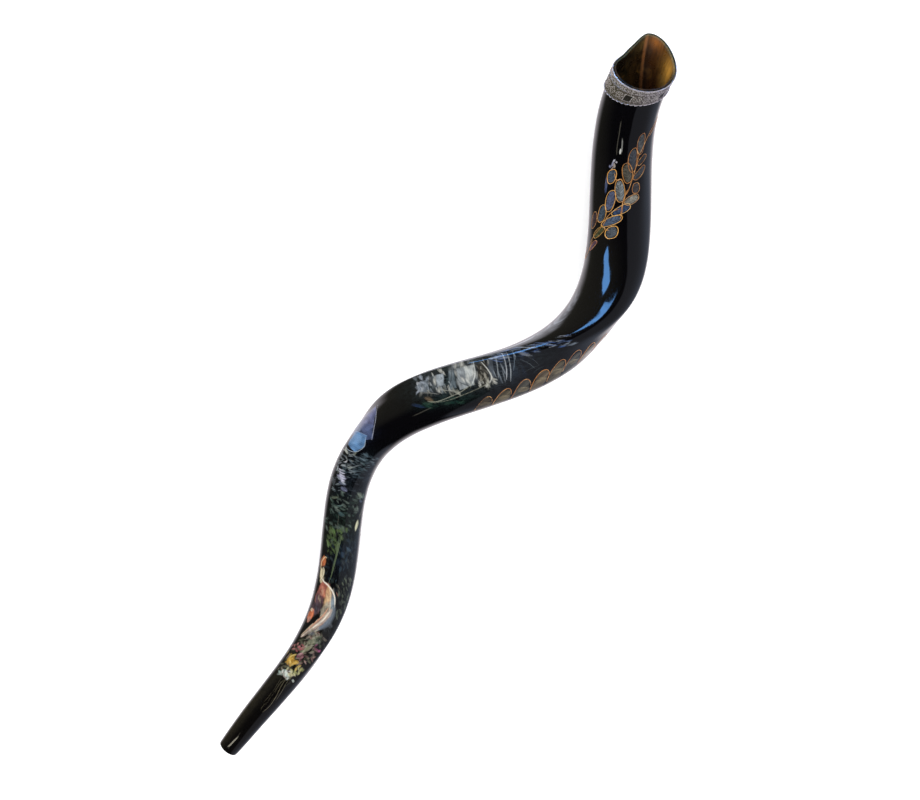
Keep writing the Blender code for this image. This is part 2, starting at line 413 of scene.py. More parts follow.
def lacquer_material(name, painted=False):
    """Black gloss lacquer. The wash layer tints it thinly, and the paint layer covers it."""
    made, nodes = new_material(name)
    wash, _, _, _, cover = nodes.layer("wash")
    _, along, around, thin, _ = nodes.layer("ground")
    place = nodes.place()
    streaks = nodes.noise(nodes.combine(along * 22.0, around * 60.0, 0.0), 1.0, 4.0, 0.6)
    brushed = nodes.smooth(streaks + nodes.noise(place, 90.0, 3.0) * 0.5, 0.52, 0.98)
    ground = nodes.mix(nodes.noise(place, 14.0, 2.0), colour("020203"), colour("060507"))
    ground = nodes.mix(thin * nodes.smooth(streaks, 0.3, 0.7, 0.4, 1.0), ground, colour("080706"))
    ground = nodes.mix(cover * brushed, ground, wash)
    cloud = nodes.noise(place, 220.0, 3.0)
    rough = nodes.smooth(cloud, 0.3, 0.8, LACQUER_ROUGHNESS, LACQUER_ROUGHNESS + LACQUER_UNEVEN)
    if painted:
        paint, _, _, _, laid = nodes.layer("paint")
        laid = laid * nodes.smooth(nodes.noise(place, 700.0, 3.0), 0.2, 0.6, 0.72, 1.0)
        ground = nodes.mix(laid, ground, paint)
        rough = rough + laid * 0.08
    nodes.surface(ground, rough, nodes.noise(place, 420.0, 1.0), 0.12, 0.06 * MM)
    return made


def brush_material():
    """Brush paint under the lacquer's gloss: bristle streaks, and edges that fade into the black."""
    made, nodes = new_material("brush_paint")
    tint, _, _, _, cover = nodes.layer("tint")
    _, along, across, seed, softness = nodes.layer("brush")
    start = seed * 57.0
    bristles = nodes.noise(nodes.combine(along * 0.9 + start, across * 4.5, start), 1.0, 3.0)
    blotch = nodes.noise(nodes.place(), 520.0, 2.0)
    ragged = (bristles - 0.5) * 0.9
    side = nodes.smooth(abs(across) + ragged, 1.0 - softness, 1.0, 1.0, 0.0)
    end = nodes.smooth(abs(along) + ragged, 1.0 - softness, 1.0, 1.0, 0.0)
    body = nodes.smooth(bristles + blotch * 0.35, 0.42, 0.78, 0.35, 1.0)
    varied = nodes.mix(nodes.smooth(bristles, 0.4, 0.75, 0.0, 0.22), tint, (0.75, 0.74, 0.70))
    shade = nodes.mix(cover * side * end * body, BLACK, varied)
    nodes.surface(shade, nodes.smooth(blotch, 0.3, 0.8, 0.06, 0.16), bristles, 0.15, 0.05 * MM)
    return made


def leaf_material():
    """Thin translucent washes inside the outlines, ribbed by the brush from a middle vein."""
    made, nodes = new_material("leaf_wash")
    tint, _, _, _, cover = nodes.layer("tint")
    _, along, across, seed, _ = nodes.layer("brush")
    start, away = seed * 31.0, abs(across)
    slant = along * 7.0 - away * 2.5 + start
    ribs = nodes.noise(nodes.combine(slant, across * 0.8, start), 1.1, 2.0)
    grain = nodes.noise(nodes.combine(along + start, across * 5.0, 0.0), 1.2, 3.0)
    vein = nodes.smooth(away, 0.0, 0.16, 0.75, 0.0)
    wash = nodes.smooth(ribs, 0.35, 0.7, 0.25, 0.85) + nodes.smooth(grain, 0.45, 0.75, 0.0, 0.35)
    shade = nodes.mix(cover * nodes.math("MAXIMUM", wash, vein), BLACK, tint)
    nodes.surface(shade, nodes.smooth(grain, 0.3, 0.7, 0.06, 0.14), ribs, 0.12, 0.05 * MM)
    return made


def gold_material():
    """Raised gold liner: an orange-gold paint that pools brighter along the middle of the line."""
    made, nodes = new_material("gold_liner")
    tint, across = nodes.layer("tint")[0], nodes.layer("brush")[2]
    flow = nodes.noise(nodes.place(), 260.0, 3.0)
    thin = nodes.mix(nodes.smooth(flow, 0.35, 0.65), tint, colour("6a3a14"))
    full = nodes.mix(nodes.smooth(flow, 0.4, 0.8, 0.0, 0.7), tint, colour("e8bc80"))
    shade = nodes.mix(nodes.smooth(abs(across), 0.15, 0.95, 1.0, 0.0), thin, full)
    nodes.surface(shade, nodes.smooth(flow, 0.3, 0.8, 0.16, 0.36), flow, 0.2, 0.08 * MM, 0.15)
    return made


def natural_material():
    """Bare natural horn inside the bell: long fibres in amber and dark brown, polished by hand."""
    made, nodes = new_material("natural_horn")
    tint, _, _, _, polish = nodes.layer("tint")
    _, along, around, _, _ = nodes.layer("ground")
    fibres = nodes.noise(nodes.combine(along * 9.0, around * 55.0, 0.0), 1.0, 5.0, 0.8)
    mottle = nodes.noise(nodes.place(), 130.0, 4.0, 0.7)
    amber = nodes.mix(0.6, tint, colour("b88430"))
    shade = nodes.mix(nodes.smooth(fibres, 0.35, 0.7, 0.0, 0.55), tint, colour("000000"))
    shade = nodes.mix(nodes.smooth(mottle, 0.5, 0.78, 0.0, 0.3), shade, amber)
    rough = nodes.smooth(mottle, 0.3, 0.8, 0.26, 0.48) + nodes.smooth(polish, 0.0, 1.0, 0.4, 0.0)
    nodes.surface(nodes.mix(0.3, shade, tint), rough, fibres, 0.3, 0.1 * MM)
    return made


def silver_material(name, light, dark):
    """Silver plate. The relief layer holds its height (where the collar and the hem also carry painted
    reflection and highlights), how far it keeps its tone away from the keel, its dark ground, and the warmth
    of a painted reflection on its tarnish, yellow on one side and lilac on the other.
    """
    made, nodes = new_material(name)
    _, height, polish, ground, warm = nodes.layer("relief")
    cloud = nodes.noise(nodes.place(), 70.0, 3.0)
    specks = nodes.noise(nodes.place(), 900.0, 3.0)
    lit = nodes.smooth(height + (specks - 0.48) * 1.9, 0.08, 0.62)
    # Painted reflection: the patina turns yellow on one side and lilac on the other.
    patina_and_reflection = nodes.mix(warm, colour("7c7484"), nodes.mix(cloud, colour(dark), colour("6e6650")))
    tone = nodes.mix(lit, patina_and_reflection, nodes.mix(cloud, colour(light), colour("cfc6d4")))
    tone = nodes.mix(ground * 0.8, tone, colour("1c1d18"))
    shade = nodes.mix(polish, nodes.mix(0.12, colour("3a4032"), tone), tone)
    nodes.surface(shade, nodes.smooth(lit, 0.0, 1.0, 0.55, 0.3), specks, 0.15, 0.05 * MM, 0.7)
    return made


def adhesive_material():
    """The bedding cement that squeezes out a little under the sleeve: dull, yellowed and pitted."""
    made, nodes = new_material("bedding_cement")
    pits = nodes.noise(nodes.place(), 600.0, 4.0)
    shade = nodes.mix(pits, colour("7d7050"), colour("b5a67c"))
    nodes.surface(shade, nodes.smooth(pits, 0.3, 0.8, 0.5, 0.8), pits, 0.5, 0.2 * MM)
    return made


# ---------------------------------------------------------------- the horn and its lacquer

LACQUER_DEPTH = 0.25 * MM
CORE_INSET = 0.20 * MM
# How far from the middle of the mouthpiece's face the lacquer and the natural horn begin.
LACQUER_CUP = 6.7 * MM
CORE_CUP = 6.4 * MM
LACQUER_SHORT_OF_RIM = 0.05 * MM
FACE_ROWS = 4
EDGE_ROWS = 9
OUTER_ROWS = 520
UNDER_ROWS = 120
BORE_ROWS = 230
THROAT_ROWS = 60
CUP_ROWS = 24
BELL_CROWDING = 2.2
COLUMNS = 112
KEEL_CROWDING = 0.42

# Thin grounds under the painting: back from the rim (mm), angle from the keel (degrees), their half
# sizes, colour and strength.
# The ground at 862 mm back is a painted reflection: it lightens the left side of the mouthpiece.
WASHES = table("""
    440 30 26 40 #3c4a4c .55; 408 15 18 40 #4a5054 .45; 386 20 14 45 #2e3640 .5; 440 80 22 12 #10241e .6;
    360 20 22 30 #23292c .35; 530 104 12 20 #2c3450 .4; 556 170 20 40 #162026 .6; 585 -170 20 40 #181e24 .6;
    612 -150 20 50 #141c1c .7; 640 -120 22 60 #182016 .6; 664 -90 22 40 #182230 .7;
    690 -60 22 40 #161a18 .7; 735 -30 24 30 #161816 .7; 765 -45 24 50 #1e1c18 .6; 792 -50 16 50 #26241a .5;
    822 -75 22 30 #26221a .5; 862 -98 26 34 #342e20 .8; 600 60 60 60 #10161a .5; 700 90 60 70 #14161c .45;
    450 -110 60 70 #12161a .45
""")
# The horn's own colours inside the bell: depth (mm), half length, angle (degrees), half width, colour
# and strength.
HORN_SPOTS = table("""
    1.5 6.5 -10 11 #a8641e .95; 4 6 12 10 #4c4020 .6; 30 22 20 12 #33220e .6; 18 20 -14 14 #472a14 .6;
    12 15 -62 26 #c48e38 .95; 27 11 -56 20 #96723a .85; 27 6 -66 14 #5a5428 .6; 4 5 -100 18 #5c5026 .5
""")


def section_angles():
    """Angles round a section, crowded towards the keel."""
    turns = (np.arange(COLUMNS) / COLUMNS - 0.5) * 2.0 * math.pi
    return turns - KEEL_CROWDING * np.sin(turns)


def wash_layer(distance, angle_deg):
    """Colour and cover of the thin grounds at each point."""
    back = (HORN_LENGTH - distance) / MM
    total = np.zeros(back.shape)
    mixed = np.zeros((*back.shape, 3))
    for centre, angle, length, width, code, strength in WASHES:
        turn = (angle_deg - angle + 180.0) % 360.0 - 180.0
        weight = strength * ridge(back - centre, length) * ridge(turn, width)
        mixed += weight[..., None] * np.array(colour(code))
        total += weight
    shade = mixed / np.maximum(total, 1e-6)[..., None]
    return np.concatenate([shade, np.minimum(total, 1.0)[..., None]], -1)


def ground_layer(distances, angles):
    """Distance (in decimetres) and turn, so that a material's grain can follow the horn."""
    distance, angle = np.broadcast_arrays(distances[:, None], angles[None, :])
    around = np.abs(angle) / math.pi * np.where(angle < 0, 1.0, 1.37)
    thin = 1.0 - ease(distance, 30 * MM, 130 * MM)
    return np.stack([distance * 10.0, around, thin, np.ones_like(angle)], -1)


def tip_rows(face_radius, inset, start):
    """Distances and growths over the mouthpiece's flat face and its rounded edge, from the cup out."""
    face = np.linspace(face_radius - TIP_DIAMETER / 2, -TIP_ROUNDING - inset, FACE_ROWS)
    turns = np.linspace(0.0, 0.5 * math.pi, EDGE_ROWS)[1:]
    distances = np.r_[np.full(FACE_ROWS, start), start + TIP_ROUNDING * (1.0 - np.cos(turns))]
    return distances, np.r_[face, -inset - TIP_ROUNDING * (1.0 - np.sin(turns))]


def rows_of(distances, grows, angles):
    return outside(np.asarray(distances)[:, None], angles[None, :], np.asarray(grows)[:, None])


def make_lacquer(finish):
    angles = section_angles()
    tip_distance, tip_grow = tip_rows(LACQUER_CUP, 0.0, 0.0)
    end = HORN_LENGTH - LACQUER_SHORT_OF_RIM
    body = np.linspace(TIP_ROUNDING, end, OUTER_ROWS)[1:]
    under = np.linspace(end, TIP_ROUNDING, UNDER_ROWS)
    under_tip, under_grow = tip_rows(LACQUER_CUP, LACQUER_DEPTH, LACQUER_DEPTH)
    distances = np.r_[tip_distance, body, under, under_tip[::-1][1:]]
    flat, sunk = np.zeros(len(body)), np.full(len(under), -LACQUER_DEPTH)
    rings = rows_of(distances, np.r_[tip_grow, flat, sunk, under_grow[::-1][1:]], angles)
    distance, angle = np.broadcast_arrays(distances[:, None], np.degrees(angles)[None, :])
    layers = (("wash", wash_layer(distance, angle)), ("ground", ground_layer(distances, angles)))
    settle(closed_loft("horn_lacquer", rings, finish, layers), "lacquered_horn", "horn_body")


def over(shade, weight, top):
    """A colour laid over a shade, by a weight for each point."""
    return shade + weight[..., None] * (np.array(top) - shade)


def natural_tint(depth, angle_deg, edge_share):
    """Colours inside the bell: dark left wall, brown right wall, a lit crease and an amber patch, and painted
    shade that darkens the bell deeper in.
    """
    green = 0.55 * ease(angle_deg, 14.0, 34.0) * ease(80.0 - angle_deg, 0.0, 40.0)
    shade = over(np.array(colour("0c0a06")), green, colour("10120a"))
    shade = over(shade, ease(-angle_deg, -8.0, 10.0), colour("3a2110"))
    for at_depth, deep, at_angle, wide, code, strength in HORN_SPOTS:
        weight = strength * ridge(depth - at_depth, deep) * ridge(angle_deg - at_angle, wide)
        shade = over(shade, weight, colour(code))
    shade = over(shade, 0.9 * ridge(angle_deg - 4.5, 1.35) * np.exp(-depth / 45.0), colour("a2683a"))
    rim = over(np.array(colour("4e5234")), ease(np.abs(angle_deg), 70.0, 110.0), colour("1a1410"))
    shade = over(shade, edge_share * ridge(depth, 1.3), rim)
    # Painted shade: the bell grows darker deeper in.
    return over(shade, ease(depth, 45.0, 150.0), colour("140c06"))


def make_core(finish):
    angles = section_angles()
    tip_distance, tip_grow = tip_rows(CORE_CUP, CORE_INSET, CORE_INSET)
    body = np.linspace(TIP_ROUNDING + CORE_INSET, HORN_LENGTH, UNDER_ROWS)[1:]
    outer_distance = np.r_[tip_distance[1:], body]
    outer = rows_of(outer_distance, np.r_[tip_grow[1:], np.full(len(body), -CORE_INSET)], angles)
    bell = HORN_LENGTH - np.linspace(0.0, 1.0, BORE_ROWS) ** BELL_CROWDING * (HORN_LENGTH - CAVITY_FROM)
    throat = np.linspace(CAVITY_FROM, THROAT_DEPTH, THROAT_ROWS)[1:]
    inner_distance = np.r_[bell, throat, np.linspace(THROAT_DEPTH, CORE_INSET, CUP_ROWS)[1:]]
    inner = inside(inner_distance[:, None], angles[None, :])
    distances = np.r_[outer_distance, inner_distance]
    depths = (HORN_LENGTH - distances) / MM
    depth, angle = np.broadcast_arrays(depths[:, None], np.degrees(angles)[None, :])
    edge_share = np.where(np.arange(len(distances)) < len(outer_distance), 0.9, 0.25)[:, None]
    polish = ease(depth, 0.4, 2.5)
    tint = np.concatenate([natural_tint(depth, angle, edge_share), polish[..., None]], -1)
    layers = (("tint", tint), ("ground", ground_layer(distances, angles)))
    made = closed_loft("horn_natural_core", np.concatenate([outer, inner]), finish, layers)
    settle(made, "natural_horn", "horn_body")


# ---------------------------------------------------------------- the silverwork

SLEEVE_COLUMNS = 800
SLEEVE_ROWS = 100
SLEEVE_INNER_ROWS = 4
ROUND_STEPS = 1441
RELIEF_TOP = 0.42
# The turn round the horn of the painted reflection that tints the silver yellow on one side and lilac on the
# other. The collar's painted lighter side follows it too.
REFLECTION_TURN = 0.9

# The frieze, in mm: every fourth motif is a plain dark square.
MOTIFS = 24
MOTIF_WIDTH = 8.4
DARK_MOTIF = 3
DARK_HALF = 3.3
BEADS = 6 * MOTIFS
FRIEZE_MIDDLE = 12.1
FRIEZE_HALF = 5.0

WIRE_POINTS = 480
WIRE_SIDES = 12
SCALLOP_POINTS = 18
STRAND_POINTS = 9
# Each plain wire's name, the CAD node it replaces, its drop from the rim, radius and brightness.
WIRES = (
    ("bell_rim_wire", "sleeve_rim_bead", RIM_BEAD_RADIUS, RIM_BEAD_RADIUS, 1.0),
    ("frieze_wire", "sleeve_frieze_bead", FRIEZE_BEAD_DROP, FRIEZE_BEAD_RADIUS, 0.3),
)


def even_round(drop, grow, count):
    """Angles that stand evenly far apart round the bell, and the length round it."""
    fine = np.linspace(-math.pi, math.pi, ROUND_STEPS)
    trace = outside(np.full(fine.shape, HORN_LENGTH - drop), fine, grow)
    run = np.r_[0.0, np.cumsum(np.linalg.norm(np.diff(trace, axis=0), axis=1))]
    return np.interp(run[-1] * np.arange(count) / count, run, fine), run[-1]


def frieze(x, y, motif):
    """Height in mm of the chased frieze: rosettes and lozenges by turns, between rows of small beads."""
    length = np.hypot(x, y)
    scallops = 0.45 + 0.55 * np.cos(8.0 * np.arctan2(y, x))
    petals = 0.30 * ridge(length - 2.1, 0.85) * scallops + 0.34 * ridge(length, 0.75)
    petals = petals + 0.22 * ridge(length - 3.5, 0.28)
    lozenge = np.abs(x) / 3.5 + np.abs(y) / 4.4
    net = np.cos((x / 3.5 + y / 4.4) * 3.0 * math.pi) * np.cos((x / 3.5 - y / 4.4) * 3.0 * math.pi)
    gem = 0.28 * ridge(lozenge - 1.0, 0.11) + 0.24 * ease(1.0 - lozenge, 0.05, 0.3) * ease(net, -0.1, 0.6)
    picture = np.where(motif % 2 == 0, petals, gem)
    border = 0.3 * ridge(np.maximum(np.abs(x), np.abs(y)) - 3.5, 0.4)
    picture = np.where(motif % 4 == DARK_MOTIF, border, picture)
    corners = 0.2 * ridge(np.hypot(np.abs(x) - 4.1, np.abs(y) - 3.3), 0.75)
    return np.clip(picture + corners, 0.0, RELIEF_TOP) * ease(FRIEZE_HALF - np.abs(y), 0.0, 0.5)


def sleeve_relief(drop_mm, around_mm, round_mm):
    """Height in mm of the chased sleeve, and where its ground is dark."""
    motif_length = round_mm / MOTIFS
    motif = np.floor(around_mm / motif_length)
    x = (around_mm / motif_length - motif - 0.5) * motif_length
    y = drop_mm - FRIEZE_MIDDLE
    height = frieze(x * MOTIF_WIDTH / motif_length, y, motif)
    beads = np.cos(around_mm / round_mm * BEADS * 2.0 * math.pi)
    for row in (-FRIEZE_HALF - 0.45, FRIEZE_HALF + 0.45):
        height = height + 0.22 * ridge(y - row, 0.36) * ease(beads, -0.6, 0.7)
    dark_square = (motif % 4 == DARK_MOTIF) & (np.abs(x) < DARK_HALF) & (np.abs(y) < DARK_HALF)
    rippled = 0.03 * np.sin(around_mm * 1.9) * np.sin(drop_mm * 2.3 + np.sin(around_mm * 0.7))
    ground = ease(FRIEZE_HALF + 1.0 - np.abs(y), 0.0, 0.6)
    lip = 0.16 * ridge(drop_mm - 0.2, 0.8)
    return height + rippled * ground - 0.05 * ground + lip, dark_square * 1.0


def away_from_keel_at(angles):
    """The silver keeps its bright tone on the side away from the keel, and is tinted a little dark olive
    towards it.
    """
    turn = np.degrees(angles)
    return ease(turn, 62.0, 98.0) + ease(-turn, 48.0, 80.0)


def reflection_warmth_at(angles):
    """A painted reflection on the tarnish: it is tinted yellower towards the horn's flat left side, and lilac
    on the right.
    """
    return 0.5 - 0.5 * np.cos(angles + REFLECTION_TURN)


def make_sleeve(finish):
    angles, round_length = even_round(SLEEVE_HEIGHT / 2, SLEEVE_OUTER, SLEEVE_COLUMNS)
    drops = np.linspace(0.0, SLEEVE_HEIGHT, SLEEVE_ROWS)
    around = np.arange(SLEEVE_COLUMNS) / SLEEVE_COLUMNS * round_length
    relief, ground = sleeve_relief(drops[:, None] / MM, around[None, :] / MM, round_length / MM)
    relief = relief * (ease(drops / MM, 0.0, 0.15) * ease((SLEEVE_HEIGHT - drops) / MM, 0.0, 0.4))[:, None]
    outer = outside((HORN_LENGTH - drops)[:, None], angles[None, :], SLEEVE_OUTER + relief * MM)
    inner_drops = np.linspace(SLEEVE_HEIGHT, 0.0, SLEEVE_INNER_ROWS)
    inner = outside((HORN_LENGTH - inner_drops)[:, None], angles[None, :], SLEEVE_INNER)
    # A painted reflection: the plain collar above the frieze is made lighter on one side, and a lighter line
    # runs just under the rim.
    collar = (drops < FRIEZE_BEAD_DROP)[:, None] * (0.17 - 0.12 * np.cos(angles + REFLECTION_TURN))[None, :]
    collar = np.maximum(collar, 0.75 * ridge(drops / MM - 0.9, 0.8)[:, None])
    plain = np.zeros((SLEEVE_INNER_ROWS, SLEEVE_COLUMNS))
    level = np.r_[np.maximum(relief / RELIEF_TOP, collar), plain]
    polish, warm = (at(angles)[None, :] * np.ones_like(level) for at in (away_from_keel_at, reflection_warmth_at))
    shade = np.stack([level, polish, np.r_[ground, plain], warm], -1)
    made = closed_loft("bell_sleeve_chased", np.concatenate([outer, inner]), finish, (("relief", shade),), 50)
    settle(made, "silver", "bell_sleeve")


def wire_along(name, centres, angles, radii, finish, replaced, level):
    """A closed round wire through points; radii is one row of section radii for each point."""
    forward = unit(np.roll(centres, -1, 0) - np.roll(centres, 1, 0))
    outward = centres - centres.mean(0)
    outward = unit(outward - np.sum(outward * forward, -1, keepdims=True) * forward)
    side = np.cross(forward, outward)
    turns = np.arange(WIRE_SIDES) / WIRE_SIDES * 2.0 * math.pi
    across = np.cos(turns)[None, :, None] * outward[:, None] + np.sin(turns)[None, :, None] * side[:, None]
    rings = centres[:, None] + radii[..., None] * across
    ones = np.ones(radii.shape)
    polish, warm = (at(angles)[:, None] * ones for at in (away_from_keel_at, reflection_warmth_at))
    shade = np.stack([level * ones, polish, 0.0 * ones, warm], -1)
    settle(closed_loft(name, rings, finish, (("relief", shade),), None), "silver", replaced)


def make_wires(finish):
    """Two plain wires a little uneven from drawing, and a hem twisted from two strands."""
    step = np.arange(WIRE_POINTS)
    uneven = 1.0 + 0.03 * np.sin(step * 0.37) + 0.02 * np.sin(step * 1.13)
    for name, replaced, drop, radius, level in WIRES:
        angles, _ = even_round(drop, WIRE_SEAT + radius, WIRE_POINTS)
        centres = outside(np.full(WIRE_POINTS, HORN_LENGTH - drop), angles, WIRE_SEAT + radius)
        radii = radius * uneven[:, None] * np.ones((1, WIRE_SIDES))
        wire_along(name, centres, angles, radii, finish, replaced, level)
    drop = SLEEVE_HEIGHT - HEM_SCALLOP_DEPTH
    step = np.arange(HEM_SCALLOPS * SCALLOP_POINTS)
    angles, _ = even_round(drop, WIRE_SEAT + HEM_RADIUS, len(step))
    wave = np.abs(np.sin(math.pi * step / SCALLOP_POINTS))
    centres = outside(HORN_LENGTH - drop - HEM_SCALLOP_DEPTH * wave, angles, WIRE_SEAT + HEM_RADIUS)
    turns = np.arange(WIRE_SIDES) / WIRE_SIDES * 2.0 * math.pi
    twist = step * (2.0 * math.pi / STRAND_POINTS)
    radii = HEM_RADIUS * (0.80 + 0.20 * np.abs(np.cos(turns[None, :] - twist[:, None])))
    # A painted highlight: the hem is lighter at the crests of its scallops.
    level = 0.15 + 0.85 * wave[:, None] ** 2
    wire_along("twisted_hem_wire", centres, angles, radii, finish, "sleeve_scalloped_hem", level)


# ---------------------------------------------------------------- the painting

STROKE_SINK = 0.03 * MM
STROKE_BACK = 0.14 * MM
# Strokes keep this far from the mouthpiece's face and from the rim.
STROKES_FROM = 2.0 * MM
STROKES_SHORT_OF_RIM = 0.5 * MM
DAB_LANES = 7
LINE_LANES = 5
LINE_STEPS = 6
OUTLINE_STEPS = 46
OUTLINE_RISE = 0.3
OUTLINE_WOBBLE = 0.03


def cosine(angle_deg):
    return math.cos(math.radians(angle_deg))


def sine(angle_deg):
    return math.sin(math.radians(angle_deg))


def rounded(points, steps):
    """A smooth path through points of back and angle, with steps points between each two."""
    points = np.array(points, float)
    fine = np.linspace(0, len(points) - 1, (len(points) - 1) * steps + 1)
    padded = np.concatenate([2 * points[:1] - points[1:2], points, 2 * points[-1:] - points[-2:-1]])
    k = np.minimum(fine.astype(int), len(points) - 2)
    f = (fine - k)[:, None]
    p0, p1, p2, p3 = padded[k], padded[k + 1], padded[k + 2], padded[k + 3]
    bend = (2 * p0 - 5 * p1 + 4 * p2 - p3) * f**2 + (3 * p1 - p0 - 3 * p2 + p3) * f**3
    return 0.5 * (2 * p1 + (p2 - p0) * f + bend)


class Painter:
    """Collects strokes that lie on the lacquer, as thin closed bodies, and makes one mesh of them."""

    def __init__(self, seed):
        self.points, self.loops, self.sizes, self.tints, self.brushes = [], [], [], [], []
        self.count = 0
        self.random = np.random.default_rng(seed)

    def ribbon(self, back_mm, angle_deg, half_mm, rise_mm, code, cover, softness, lanes):
        """A stroke along a path. back_mm, angle_deg and half_mm are arrays along it."""
        distance, angle = HORN_LENGTH - back_mm * MM, np.radians(angle_deg)
        along, around = stretch(distance, angle, STROKE_TURN)
        heading = unit(np.stack([np.gradient(distance) * along, np.gradient(angle) * around], -1))
        lane = np.linspace(-1.0, 1.0, lanes)
        shift = half_mm[:, None] * MM * lane[None, :]
        distances = distance[:, None] - heading[:, 1:2] * shift / along[:, None]
        distances = np.clip(distances, STROKES_FROM, HORN_LENGTH - STROKES_SHORT_OF_RIM)
        angles = angle[:, None] + heading[:, 0:1] * shift / around[:, None]
        steps = np.linspace(-1.0, 1.0, len(distance))
        dome = (1.0 - lane[None, :] ** 2) * (1.0 - steps[:, None] ** 6)
        top = outside(distances, angles, rise_mm * MM * dome - STROKE_SINK)
        under = outside(distances, angles, -STROKE_BACK)[:, -2:0:-1]
        rows, columns = len(distance), 2 * lanes - 2
        points = np.concatenate([top, under], 1).reshape(-1, 3)
        quads = loft_faces(rows, columns)
        first, last = np.arange(columns)[::-1], (rows - 1) * columns + np.arange(columns)
        a, b, c = (points[quads[:, k]] for k in range(3))
        if np.sum(np.cross(b - a, c - a) * (points[quads].mean(1) - points.mean(0))) < 0:
            quads, first, last = quads[:, ::-1], first[::-1], last[::-1]
        self.points.append(points)
        self.loops += [part + self.count for part in (quads.ravel(), first, last)]
        self.sizes += [4] * len(quads) + [columns, columns]
        across = np.r_[lane, lane[-2:0:-1]]
        layer = np.broadcast_arrays(steps[:, None], across[None, :], self.random.random(), softness)
        self.brushes.append(np.stack(layer, -1).reshape(-1, 4))
        tint = (*(PAINT_DEPTH * part for part in colour(code)), cover)
        self.tints.append(np.tile(tint, (rows * columns, 1)))
        self.count += len(points)

    def local(self, back, angle, x, y, tilt):
        """Back and angle of points given in mm round a middle point, turned by tilt."""
        along, around = stretch(HORN_LENGTH - back * MM, math.radians(angle), STROKE_TURN)
        forward, sideways = x * cosine(tilt) - y * sine(tilt), x * sine(tilt) + y * cosine(tilt)
        return back - forward / along, angle + np.degrees(sideways * MM / around)

    def dab(
        self, back, angle, length, width, tilt, code, cover, bend=0.0,
        power=0.6, rise=0.14, softness=0.45, rows=9,
    ):
        """One brush dab round a middle point, its length turned by tilt degrees from the horn's own."""
        t = np.linspace(-0.985, 0.985, rows)
        backs, angles = self.local(back, angle, t * length / 2, bend * length * (1.0 - t**2), tilt)
        half = width / 2 * (1.0 - t**2) ** power + 0.03
        self.ribbon(backs, angles, half, rise, code, cover, softness, DAB_LANES)

    def line(self, points, width, code, cover=1.0, rise=0.16, taper=0.5):
        """A stroke through points of back and angle, rounded between them."""
        curve = rounded(points, LINE_STEPS)
        half = width / 2 * (1.0 - taper * np.abs(np.linspace(-1.0, 1.0, len(curve))) ** 3)
        self.ribbon(curve[:, 0], curve[:, 1], half, rise, code, cover, 0.4, LINE_LANES)

    def outline(
        self, back, angle, length, width, tilt, code, line_width=0.85,
        start=-0.03, end=1.02, power=0.75, skew=0.0,
    ):
        """The gold line round a leaf or berry, drawn in one go from its base."""
        t = np.linspace(start, end, OUTLINE_STEPS) * 2.0 * math.pi
        shake = 1.0 + OUTLINE_WOBBLE * np.sin(3.0 * t + self.random.random() * 6.0)
        y = width / 2 * np.sign(np.sin(t)) * np.abs(np.sin(t)) ** power * shake
        x = -length / 2 * np.cos(t) * shake - skew * y
        backs, angles = self.local(back, angle, x, y, tilt)
        half = line_width / 2 * (0.85 + 0.25 * np.sin(t * 1.5 + self.random.random() * 6.0) ** 2)
        self.ribbon(backs, angles, half, OUTLINE_RISE, code, 1.0, 0.2, LINE_LANES)

    def finish(self, name, slot, finish):
        layers = (("tint", np.concatenate(self.tints)), ("brush", np.concatenate(self.brushes)))
        loops = np.concatenate(self.loops)
        settle(add_mesh(name, np.concatenate(self.points), loops, self.sizes, finish, layers, 60), slot)


CANVAS_BACK = (272.0, 876.0)
CANVAS_ROWS = 1340
CANVAS_COLUMNS = 300
CELLS_PER_DEGREE = CANVAS_COLUMNS / 360.0
CANVAS_LINE_STEPS = 24
FAR = 1e9
FILM_BASE = 0.02 * MM
FILM_RISE = 0.09 * MM
FILM_BACK = 0.15 * MM
# The painting's pieces, each a stretch of the horn between two distances back from the rim.
PAINTINGS = (
    # The third piece holds the painted reflection of a window, and trees.
    ("painted_scales", 272, 376), ("painted_town", 376, 488), ("painted_window_reflection_and_trees", 488, 592),
    ("painted_garden", 592, 668), ("painted_robed_figure", 668, 764), ("painted_flowers", 764, 876),
)


